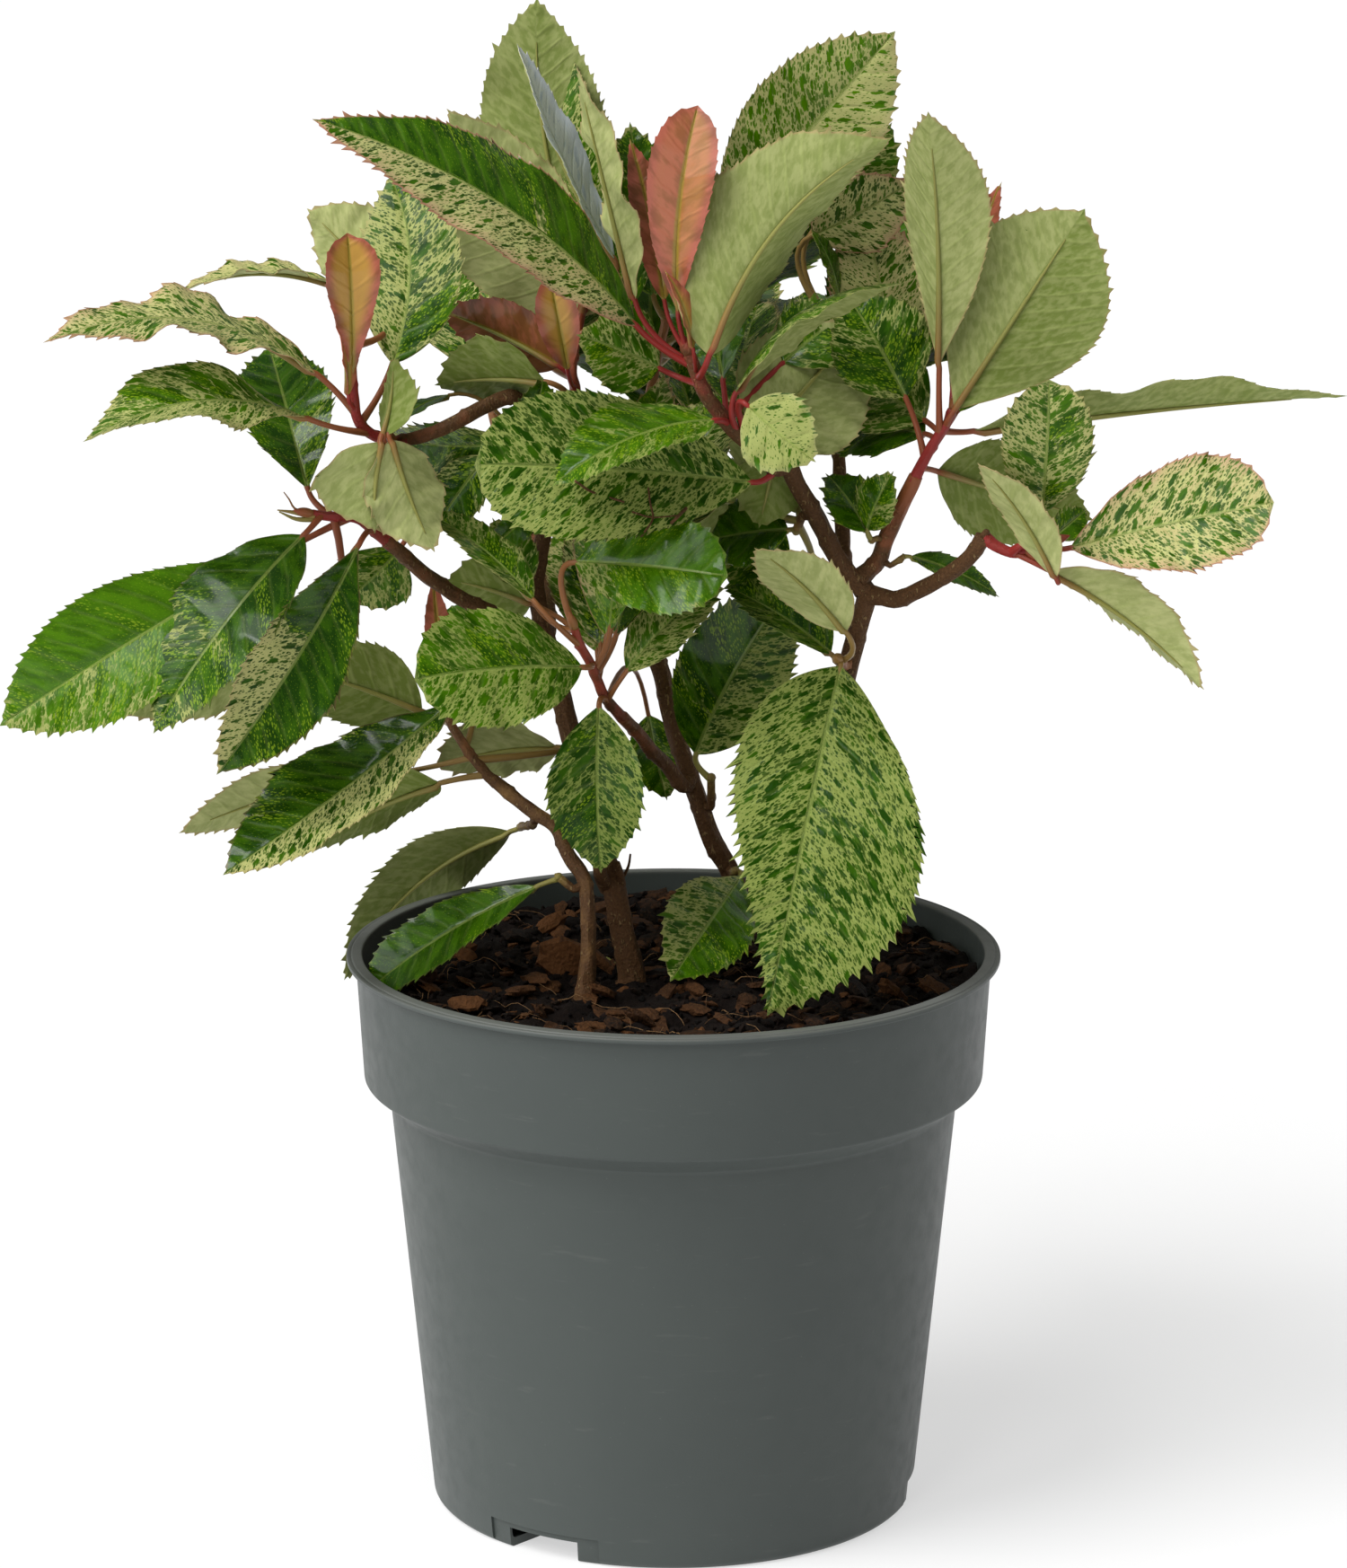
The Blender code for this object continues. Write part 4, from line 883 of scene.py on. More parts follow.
S = Skin
LIMBS = (
    Limb("stem_left",
         ((652, 1113, -26), (655, 1056, -24), (652, 986, -20), (634, 954, -17), (620, 923, -14),
          (596, 905, -11), (570, 886, -8), (548, 868, -6)),
         (3.2, 2.2, 2.1, 2.1, 2.0, 1.9, 1.9, 1.8), age=(0.72, 0.6), red=0.5),
    Limb("stem_middle",
         ((704, 1098, -12), (692, 1030, -11), (682, 985, -10), (665, 925, -6), (648, 865, 0),
          (633, 810, 4), (621, 760, 6), (606, 701, 8), (597, 653, 10), (602, 615, 12),
          (612, 560, 12), (624, 510, 9), (634, 470, 4)),
         (4.6, 3.3, 3.3, 3.2, 3.1, 3.0, 2.8, 2.6, 2.4, 2.3, 2.2, 2.0, 1.8)),
    Limb("stem_back",
         ((845, 1040, 46), (826, 1000, 43), (810, 965, 40), (792, 933, 38), (780, 897, 36),
          (770, 868, 35), (760, 842, 36), (746, 796, 40), (739, 758, 44), (729, 725, 47),
          (721, 670, 50), (716, 610, 50), (714, 550, 48), (716, 500, 44)),
         (4.4, 3.0, 2.9, 2.9, 2.8, 2.7, 2.7, 2.6, 2.6, 2.5, 2.3, 2.1, 1.9, 1.8)),
    Limb("stem_right",
         ((880, 1052, 34), (893, 985, 24), (905, 930, 16), (926, 830, 8), (946, 737, 5),
          (955, 700, 4), (965, 662, 2), (953, 648, 1), (930, 617, -2), (907, 573, -6),
          (888, 540, -10), (877, 512, -13), (873, 497, -14)),
         (4.4, 3.1, 3.0, 2.9, 2.8, 2.8, 2.9, 2.7, 2.6, 2.5, 2.5, 2.4, 2.1), age=(1.0, 0.9)),
    Limb("bough_left",
         ((590, 702, 6), (554, 685, 1), (519, 669, -4), (478, 643, -11), (446, 615, -16), (430, 602, -18)),
         (2.4, 2.3, 2.2, 2.1, 2.0, 1.9), "stem_middle", age=(0.95, 0.6)),
    Limb("bough_upper_left",
         ((603, 480, 4), (588, 455, 0), (570, 442, -4), (540, 452, -8), (505, 472, -13), (470, 486, -16),
          (445, 491, -18)),
         (2.0, 2.1, 2.1, 2.1, 2.0, 1.8, 1.6), "stem_middle", age=(1.0, 0.6)),
    Limb("bough_front",
         ((757, 862, 31), (742, 852, 27), (725, 835, 20), (708, 814, 12), (692, 798, 4)),
         (2.2, 2.1, 2.0, 1.9, 1.9), "stem_back", age=(0.9, 0.5)),
    Limb("bough_right_up",
         ((973, 640, 3), (979, 622, 2), (987, 599, 0), (1006, 560, -3), (1020, 530, -5)),
         (2.5, 2.5, 2.4, 2.2, 2.0), "stem_right", age=(0.8, 0.1)),
    Limb("bough_right",
         ((977, 675, 1), (1000, 667, -2), (1032, 653, -6), (1064, 634, -12), (1084, 615, -15),
          (1095, 598, -16)),
         (2.4, 2.4, 2.3, 2.2, 2.2, 2.3), "stem_right", age=(1.0, 0.95)),
    Limb("bough_back_right",
         ((948, 655, 12), (942, 635, 20), (938, 590, 26), (935, 540, 31), (934, 500, 35)),
         (2.2, 2.2, 2.1, 2.0, 1.8), "stem_right", age=(1.0, 0.8)),
    Limb("bough_back_left",
         ((622, 690, 24), (606, 640, 40), (590, 580, 56), (570, 520, 68), (555, 480, 74)),
         (2.2, 2.2, 2.0, 1.8, 1.6), "stem_middle", age=(0.9, 0.5)),
    Limb("bough_back",
         ((735, 700, 62), (745, 650, 78), (765, 590, 88), (785, 540, 94)),
         (2.2, 2.1, 1.9, 1.7), "stem_back", age=(0.9, 0.5)),
)

MASSES = (
    Mass("foliage_upper_left", "bough_upper_left", True,
         ((430, 491, -19), (412, 482, -21), (398, 466, -23), (394, 440, -24), (391, 400, -24),
          (388, 350, -23)),
         (
             Leaf((352, 416, -28), (52, 380, -48), 30, 67, 0.27, 0.15, fold=5, skin=S.CREAM, wave=2.6,
                  left=0.9, right=0.9, pink=0.7),
             Leaf((343, 466, -34), (96, 490, -66), 34, 60, 0.2, 0.13, fold=10, twist=-40, rise=1.5,
                  wave=2.2, left=1.0, right=0.6, pink=0.35),
             Leaf((372, 316, 4), (203, 324, -6), 19, 80, 0.75, 0.1, skin=S.PALE, wave=1.5),
             Leaf((428, 335, 6), (345, 235, 22), 32, 140, 0.8, skin=S.PALE),
             Leaf((437, 405, -12), (435, 196, 16), 31, -12, 0.3, bow=0.1, fold=8, left=0.95, right=0.62,
                  pink=0.3, tone=0.2),
             Leaf((391, 428, -27), (387, 264, -29), 17, 15, 0.6, fold=24, blunt=True, rise=1.5,
                  skin=S.ORANGE),
             Leaf((388, 440, -28), (372, 348, -31), 9, 60, 0.4, fold=24, skin=S.ORANGE),
             Leaf((428, 486, -30), (438, 401, -22), 16, 130, 0.06, fold=20, skin=S.GREEN),
             Leaf((423, 492, -31), (417, 590, -37), 33, 142, 0.06, fold=38, skin=S.PALE, wave=2.0, left=0.8,
                  right=0.8),
             Leaf((434, 490, -30), (482, 611, -33), 26, 150, 0.03, fold=16, skin=S.PALE, wave=1.5),
         ), behind=10, red=0.75),
    Mass("foliage_left", "bough_left", True,
         ((418, 590, -20), (400, 578, -23), (382, 575, -26), (365, 575, -28), (348, 572, -30)),
         (
             Leaf((312, 616, -30), (3, 806, -46), 36, 6, 0.55, 0.08, rise=1.3, skin=S.GREEN, left=0.46,
                  right=0.03, tone=0.6),
             Leaf((338, 596, -35), (173, 813, -54), 35, 32, 0.9, 0.07, fold=18, skin=S.GREEN, wave=1.2,
                  left=0.42, right=0.4, tone=0.15, start=0.6),
             Leaf((400, 606, -32), (244, 859, -62), 30, -22, 0.2, 0.07, fold=18, rise=1.2, skin=S.RIGHT,
                  left=0.06, right=1.1, pink=0.4, tone=0.1, start=0.5),
             Leaf((444, 612, 4), (386, 668, 12), 24, -25, 0.35, left=0.7, right=0.6),
             Leaf((330, 712, -10), (137, 793, -14), 33, 150, 0.75, skin=S.PALE, left=0.7, right=0.7),
             Leaf((343, 545, -22), (300, 388, 20), 27, 4, 0.75, rise=1.1, skin=S.GREEN, left=0.02,
                  right=0.25, tone=0.2),
         ), behind=10, red=0.8),
    Mass("foliage_low_left", "stem_left", True,
         ((541, 860, -5), (532, 850, -4), (522, 838, -3), (512, 822, -3), (502, 806, -2), (497, 792, 0)),
         (
             Leaf((512, 775, -18), (252, 972, -52), 36, 45, 0.95, 0.02, bow=-0.03, fold=16, rise=1.25,
                  skin=S.LEFT, left=0.95, right=0.06, pink=0.38, tone=0.15, start=0.25),
             Leaf((490, 872, -4), (345, 946, 4), 35, 126, 0.08, fold=18, skin=S.GREEN),
             Leaf((430, 862, 2), (203, 926, -6), 20, 138, 0.35, rise=1.1, skin=S.PALE),
             Leaf((620, 832, 12), (487, 853, 20), 34, 122, 0.3, skin=S.PALE),
             Leaf((470, 792, 16), (330, 745, 8), 27, 160, 0.8, skin=S.GREEN),
             Leaf((490, 762, 2), (482, 648, 6), 8, 10, 0.95, skin=S.RED),
         ), behind=10, age=(0.8, 0.5)),
    Mass("foliage_over_rim", "stem_left", False,
         ((606, 918, -8), (592, 918, 14), (580, 921, 44)),
         (Leaf((568, 926, 58), (385, 1088, 52), 27, 140, 1.0, 0.16, skin=S.FLECKED, spine=1.6),), (1.4, 1.1), age=(0.8, 0.4), red=0.1),
    Mass("foliage_in_pot", "stem_left", False,
         ((638, 980, -20), (624, 978, -20)),
         (Leaf((598, 987, -17), (412, 1101, -26), 20, 38, 1.0, blunt=True, skin=S.GREEN, left=-0.1,
               right=-0.1, tone=0.3),), (1.2, 1.1), age=(0.8, 0.4), red=0.1),
    Mass("foliage_front", "bough_front", True,
         ((684, 788, 0), (673, 775, -5), (664, 755, -10), (657, 738, -14), (646, 718, -18),
          (640, 700, -20)),
         (
             Leaf((648, 743, -24), (466, 756, -52), 36, 18, 0.65, 0.07, blunt=True, skin=S.FLECKED,
                  left=0.8, right=0.55, pink=0.15),
             Leaf((640, 626, -24), (806, 641, -42), 29, -18, 0.95, blunt=True, skin=S.GREEN, left=0.03,
                  right=0.35, tone=0.5),
             Leaf((667, 786, -11), (669, 968, -22), 29, 14, 0.2, fold=14, rise=0.95, left=0.9, right=0.5,
                  pink=0.12, tone=0.1),
             Leaf((698, 747, -10), (806, 640, -4), 22, -38, 0.25, left=0.75, right=0.8),
             Leaf((594, 668, -25), (470, 568, -6), 19, 58, 0.85, left=0.42, right=0.4),
             Leaf((592, 672, 6), (500, 646, 14), 24, 150, 0.95, skin=S.GREEN),
             Leaf((586, 655, 3), (550, 580, 8), 15, 10, 0.98, skin=S.MARBLED),
             Leaf((722, 796, 52), (742, 888, 54), 17, 10, 0.25, skin=S.FLECKED),
         ), behind=6, age=(0.6, 0.2), red=0.65),
    Mass("foliage_inner", "stem_middle", False,
         ((610, 536, 4), (598, 520, -2), (588, 508, -6)),
         (
             Leaf((572, 492, -8), (432, 487, -15), 22, -45, 0.9, skin=S.FLECKED, left=0.1, right=0.5,
                  tone=0.2),
             Leaf((541, 508, -6), (490, 580, 2), 16, 10, 0.6, skin=S.FLECKED, tone=0.15),
             Leaf((500, 440, 0), (431, 478, -10), 10, 70, 0.9, skin=S.GREEN),
             Leaf((592, 566, 2), (541, 613, -4), 11, -30, 0.3, rise=0.5, skin=S.GREEN),
         ), behind=8),
    Mass("foliage_top", "stem_middle", True,
         ((637, 450, 2), (641, 435, 1), (637, 415, 0), (640, 385, 4), (648, 345, 9), (655, 310, 13)),
         (
             Leaf((632, 412, -10), (613, 312, -14), 13, 0, 0.25, fold=24, blunt=True, skin=S.ORANGE),
             Leaf((607, 425, -10), (488, 428, -17), 30, 128, 0.1, skin=S.GREEN),
             Leaf((622, 408, -1), (492, 346, 6), 21, 150, 0.3, skin=S.DARK_RED, left=0.1, right=0.1,
                  tone=-0.6),
             Leaf((648, 310, 10), (598, 2, 24), 36, 172, 0.75, bow=-0.06, fold=8, rise=1.1, skin=S.FLECKED),
             Leaf((668, 290, 18), (603, 15, 34), 27, -20, 0.95, bow=-0.02, left=0.66, right=0.66, pink=0.3),
             # Cream share 1.66 blends this leaf's upper side about half way, more near the rim, to the painted
             # reflection colour.
             Leaf((684, 288, 2), (577, 52, -8), 26, 74, 0.9, bow=-0.08, skin=S.GREEN, left=1.66, right=1.66,
                  pink=0.3),
             Leaf((655, 300, 5), (500, 124, -4), 24, 150, 0.85, bow=-0.03, skin=S.PALE),
             Leaf((700, 345, 8), (628, 200, 16), 30, 10, 0.6, left=0.6, right=0.66),
             Leaf((668, 345, 8), (445, 203, 25), 36, 155, 0.6, skin=S.PALE),
             Leaf((590, 474, -14), (604, 424, -19), 12, 20, 0.2, skin=S.GREEN),
         ), behind=12, red=0.6),
    Mass("foliage_centre", "stem_right", False,
         ((866, 518, -16), (850, 508, -18), (830, 490, -20), (812, 474, -22), (797, 455, -23),
          (785, 438, -24), (776, 417, -24), (768, 395, -24)),
         (
             Leaf((838, 537, -20), (533, 518, -38), 43, 14, 0.04, 0.05, fold=8, blunt=True, rise=0.85,
                  left=0.92, right=0.8, pink=0.18, tone=0.1),
             Leaf((795, 468, -30), (618, 539, -52), 28, 52, 0.5, 0.10, skin=S.FLECKED, wave=1.2, left=0.4,
                  right=0.3, pink=0.15, tone=0.45),
             Leaf((708, 362, -27), (352, 134, -50), 38, 46, 0.92, 0.1, fold=14, skin=S.LEFT, left=0.95,
                  right=0.12, pink=0.8, tone=0.25),
             Leaf((755, 350, -27), (776, 122, -31), 20, -12, 0.96, bow=-0.03, fold=20, blunt=True, rise=1.1,
                  skin=S.RED, left=0.15, right=0.4),
             Leaf((740, 335, -22), (702, 158, -16), 13, 20, 0.98, fold=20, skin=S.DARK_RED),
             Leaf((772, 388, -31), (742, 304, -34), 9, 60, 0.88, fold=24, skin=S.ORANGE),
             Leaf((790, 395, -33), (990, 155, -46), 44, -146, 0.85, bow=-0.07, fold=38, rise=0.65,
                  skin=S.PALE, left=0.62, right=0.62),
             Leaf((819, 438, -26), (1003, 316, -22), 30, -98, 0.4, 0.16, fold=-14),
             Leaf((848, 490, -20), (957, 362, 14), 40, 180, 0.25, fold=10, skin=S.PALE, left=0.8, right=0.8),
             Leaf((864, 508, -6), (846, 584, -2), 22, 180, 0.1, skin=S.GREEN),
             Leaf((833, 452, -33), (905, 512, -40), 24, 12, 0.3, skin=S.PALE, left=1.3, right=1.3, pink=0.25),
             Leaf((734, 410, -15), (646, 374, -19), 26, 20, 0.8),
             Leaf((707, 334, -20), (643, 77, -32), 23, 110, 0.93, 0.0, skin=S.PALE, wave=2.2),
             Leaf((872, 404, -2), (948, 345, 12), 24, -20, 0.5, skin=S.FLECKED),
         ), behind=6, age=(1.0, 0.45), red=1.0, stout=1.5),
    Mass("foliage_right_top", "bough_right_up", True,
         ((1026, 520, -6), (1036, 500, -8), (1046, 484, -9), (1054, 472, -10), (1060, 456, -10)),
         (
             Leaf((1046, 410, -14), (1034, 128, -32), 30, 152, 0.65, bow=-0.01, fold=26, rise=1.25,
                  skin=S.PALE, left=0.9, right=0.9),
             Leaf((1062, 458, -13), (1206, 236, -22), 46, 178, 0.8, fold=10, rise=1.15, skin=S.PALE,
                  left=0.25, right=0.7),
             Leaf((1084, 480, -6), (1497, 441, -22), 29, -98, 0.7, 0.015, fold=24, skin=S.GREEN, wave=1.6,
                  left=0.4, right=0.4),
             Leaf((1008, 442, 0), (944, 330, 22), 31, 18, 0.25, skin=S.FLECKED, left=0.45, right=0.4,
                  tone=0.2),
             Leaf((1072, 335, 4), (1065, 154, 8), 11, 60, 0.98, skin=S.DARK_RED),
             Leaf((1082, 335, 4), (1114, 206, 8), 13, -50, 0.98, skin=S.DARK_RED),
             Leaf((1044, 525, 6), (1214, 578, 32), 30, 178, 0.08, skin=S.GREEN),
             Leaf((1030, 468, 6), (934, 408, 26), 30, 16, 0.6),
             Leaf((1030, 483, 4), (922, 478, 30), 26, 42, 0.4, skin=S.GREEN),
         ), behind=10, age=(0.2, 0.0), red=0.8),
    Mass("foliage_right", "bough_right", False,
         ((1112, 613, -18), (1126, 615, -19), (1140, 614, -20), (1156, 609, -21), (1170, 604, -22)),
         (
             Leaf((1192, 610, -25), (1414, 560, -38), 35, -26, 0.85, 0.03, blunt=True, rise=0.85,
                  skin=S.CREAM, left=0.9, right=0.9, pink=0.8),
             Leaf((1160, 572, -24), (1168, 427, -42), 26, 6, 0.55, blunt=True, left=0.8, right=0.72,
                  pink=0.35),
             Leaf((1176, 644, -32), (1091, 518, -40), 18, 130, 0.9, skin=S.PALE),
             Leaf((1170, 636, -24), (1338, 765, -32), 24, -128, 0.4, fold=34, skin=S.PALE),
             Leaf((1172, 598, -14), (1208, 568, -8), 10, 10, 0.95, skin=S.FLECKED),
         ), behind=4, age=(0.3, 0.0), red=0.9),
    Mass("foliage_low_right", "stem_right", False,
         ((936, 727, -4), (934, 735, -10)),
         (
             Leaf((936, 742, -14), (855, 1127, -58), 54, 0, 0.9, 0.07, fold=8, rise=0.75, skew=-0.5,
                  left=0.84, right=0.88, pink=0.15, tone=0.05, spine=2.2),
             Leaf((942, 704, -22), (843, 612, -36), 25, 135, 0.8, skin=S.PALE),
             Leaf((925, 728, -4), (811, 655, 8), 26, 46, fold=28, skin=S.MARBLED, left=0.45, right=0.4,
                  pink=0.1, tone=0.2),
         ), (1.8, 1.5), age=(0.4, 0.2)),
    Mass("foliage_middle", "stem_back", False,
         ((796, 884, 30), (792, 868, 26)),
         (Leaf((775, 840, 24), (885, 645, 8), 33, -4, 1.0, bow=-0.03, fold=14, skin=S.RIGHT, left=0.15,
               right=0.85, pink=0.2, tone=0.2),), (1.3, 1.2), age=(0.8, 0.4), red=0.1),
    Mass("foliage_pot_back", "stem_back", False,
         ((814, 968, 34), (818, 970, 32)),
         (Leaf((826, 974, 29), (748, 1090, -20), 27, 0, 1.0, rise=1.3, skin=S.RIGHT, right=0.95, pink=0.25),), (1.3, 1.2), age=(0.8, 0.4), red=0.1),
    Mass("foliage_fork_left", "bough_right_up", False,
         ((974, 610, -1), (970, 602, -2)),
         (Leaf((966, 592, -3), (922, 530, 2), 18, 35, 1.0, skin=S.GREEN),
          Leaf((966, 590, -4), (993, 528, -8), 15, -35, 0.9, skin=S.FLECKED)), (0.9, 0.8), age=(0.8, 0.4), red=0.1),
    Mass("foliage_fork_right", "bough_right_up", False,
         ((998, 622, 0), (1006, 620, 0)),
         (Leaf((1014, 620, 0), (1110, 663, -4), 11, -50, 1.0, skin=S.GREEN),), (0.9, 0.8), age=(0.8, 0.4), red=0.1),
    Mass("foliage_inner_right", "stem_right", False,
         ((896, 586, -2), (888, 588, 0)),
         (
             Leaf((878, 590, 2), (790, 602, 10), 24, 30, 1.0, skin=S.GREEN),
             Leaf((880, 632, 20), (806, 612, 26), 26, 10, 0.8, skin=S.FLECKED),
         ), (1.4, 1.2), behind=6, age=(0.8, 0.4), red=0.2),
    Mass("foliage_back_top", "stem_back", True,
         ((716, 488, 43), (722, 450, 41), (732, 400, 40), (744, 350, 38), (756, 310, 36)),
         (
             Leaf((788, 268, 30), (994, 38, 8), 38, 10, 0.95, 0.07, bow=-0.01, fold=8, rise=1.3,
                  skin=S.RIGHT, left=0.9, right=1.25, pink=0.42, tone=0.75),
             Leaf((728, 330, 36), (702, 140, 40), 25, 0, 0.75, skin=S.FLECKED),
         ), behind=14),
    Mass("foliage_back_right", "bough_back_right", True,
         ((935, 490, 36), (938, 460, 37), (941, 420, 38), (944, 380, 38)),
         (
             Leaf((905, 262, 40), (1013, 203, 34), 25, 20, 0.95, skin=S.CREAM),
             Leaf((906, 256, 46), (991, 140, 42), 24, 20, 0.98),
             Leaf((996, 402, 44), (962, 232, 44), 30, 0, 0.6, skin=S.CREAM),
             Leaf((934, 332, 36), (905, 258, 32), 13, 70, 0.9, skin=S.GREEN),
         ), behind=12),
    Mass("foliage_back_left", "bough_back_left", True,
         ((550, 465, 76), (543, 430, 79), (538, 390, 81), (536, 350, 82)),
         (), behind=12),
    Mass("foliage_back", "bough_back", True,
         ((790, 520, 96), (797, 480, 98), (803, 430, 99), (806, 380, 98)),
         (), behind=14),
)


@dataclass(frozen=True)
class Bit:
    """A stub, bud, stipule or dry sprig: places in the picture, and the radius at both ends in mm.

    A place without a depth lies on the carrier, a piece that is there already.
    """

    places: tuple
    radii: tuple[float, float]
    age: float = 1.0
    red: float = 0.5
    carrier: str = ""


ON_LEAF = "foliage_centre_leaves"
BITS = (
    Bit(((350, 575, -30), (330, 571, -31), (309, 568, -32)), (1.2, 0.2), 0.0, 0.3),
    Bit(((350, 578, -30), (330, 578, -31), (311, 570, -32)), (1.0, 0.2), 0.0, 0.15),
    Bit(((342, 572, -31), (328, 566, -32), (322, 556, -33), (316, 548, -33)), (0.4, 0.15), 0.3, 0.6),
    Bit(((641, 536), (660, 548), (695, 559)), (0.4, 0.3), carrier=ON_LEAF),
    Bit(((704, 570), (726, 576), (754, 574)), (0.3, 0.2), carrier=ON_LEAF),
    Bit(((722, 543), (724, 560), (727, 577), (718, 592), (706, 607)), (0.25, 0.35), carrier=ON_LEAF),
    Bit(((764, 566), (748, 582), (728, 600), (722, 610)), (0.5, 0.4), carrier=ON_LEAF),
    Bit(((1093, 603, -15), (1096, 598, -16), (1099, 591, -17)), (2.3, 0.9)),
    Bit(((1128, 614, -20), (1136, 608, -23), (1146, 606, -24)), (1.5, 0.6), 0.0, 1.0),
    Bit(((1146, 614, -21), (1153, 620, -23), (1163, 619, -24)), (1.5, 0.6), 0.0, 0.8),
    Bit(((873, 500, -15), (873, 494, -16)), (1.6, 1.2), 0.0, 0.2),
    Bit(((690, 985, -10), (689, 972, -12), (687, 961, -14)), (1.9, 1.0)),
    Bit(((695, 975, -9), (700, 964, -10), (702, 951, -10)), (0.5, 0.3)),
    Bit(((676, 990, -9), (669, 975, -16), (667, 964, -19)), (2.2, 1.9)),
    Bit(((662, 1062), (676, 1068), (690, 1078)), (0.9, 0.5), 0.0, 0.0, "compost_bed"),
)


@dataclass
class Blade:
    """A leaf's blade in space, as a surface of u, from base to tip, and v, from edge to edge."""

    base: Array
    tip: Array
    normal: Array
    bend: Array
    half: float
    fold: float
    twist: float
    blunt: bool
    rise: float
    skew: float

    @classmethod
    def of(cls, leaf: Leaf, nudge: float) -> "Blade":
        """The blade of a leaf that shows.

        Args:
            leaf: its places and angles.
            nudge: how much further back its tip lies, in millimetres.

        Returns:
            The blade.
        """
        base = VIEW.seen(*leaf.base)
        tip = VIEW.seen(leaf.tip[0], leaf.tip[1], leaf.tip[2] + nudge)
        chord = unit(tip - base)
        toward = unit(VIEW.eye - (base + tip) / 2)
        toward = unit(toward - chord * (toward @ chord))
        across = np.cross(chord, toward)
        angle = math.radians(leaf.face)
        normal = math.cos(angle) * toward + math.sin(angle) * across
        bend = (leaf.arch * normal + leaf.bow * across) * np.linalg.norm(tip - base)
        return cls(base, tip, normal, bend, leaf.width * MM / 2, math.radians(leaf.fold),
                   math.radians(leaf.twist), leaf.blunt, leaf.rise, leaf.skew)

    @property
    def length(self) -> float:
        """The chord from base to tip."""
        return float(np.linalg.norm(self.tip - self.base))

    def midrib(self, u: Array) -> Array:
        """The chord plus a parabola of the bend."""
        return self.base + (self.tip - self.base) * u[:, None] + self.bend * (4 * u * (1 - u))[:, None]

    def frame(self, u: Array) -> tuple[Array, Array, Array]:
        """Tangent, side and normal along the midrib, turned by the twist.

        Args:
            u: places along the blade.

        Returns:
            The three directions at each place.
        """
        tangent = unit((self.tip - self.base) + self.bend * (4 * (1 - 2 * u))[:, None])
        side = unit(np.cross(tangent, self.normal))
        up = np.cross(side, tangent)
        turn = (self.twist * (u - 0.5))[:, None]
        return tangent, np.cos(turn) * side + np.sin(turn) * up, np.cos(turn) * up - np.sin(turn) * side

    def half_width(self, u: Array, v: Array | int = 0) -> Array:
        """u to a power, times 1 - u to a power, scaled to the half width at its widest, then skewed."""
        rise, fall = self.rise, (0.45 if self.blunt else 0.9)
        widest = rise / (rise + fall)
        even = self.half * (u**rise * (1 - u) ** fall) / (widest**rise * (1 - widest) ** fall)
        return even * (1 + self.skew * np.sign(v) * (2 * u - 0.5))

    def marks(self) -> Array:
        """The points of this blade that its solid has as corners: the tip, and both rims at three places."""
        u = np.array([0.38, 0.62, 0.84])
        _, side, up = self.frame(u)
        rims = [self.midrib(u) + self.half_width(u, v)[:, None]
                * (v * math.cos(self.fold) * side + math.sin(self.fold) * up) for v in (1, -1)]
        return np.concatenate([self.tip[None], *rims])


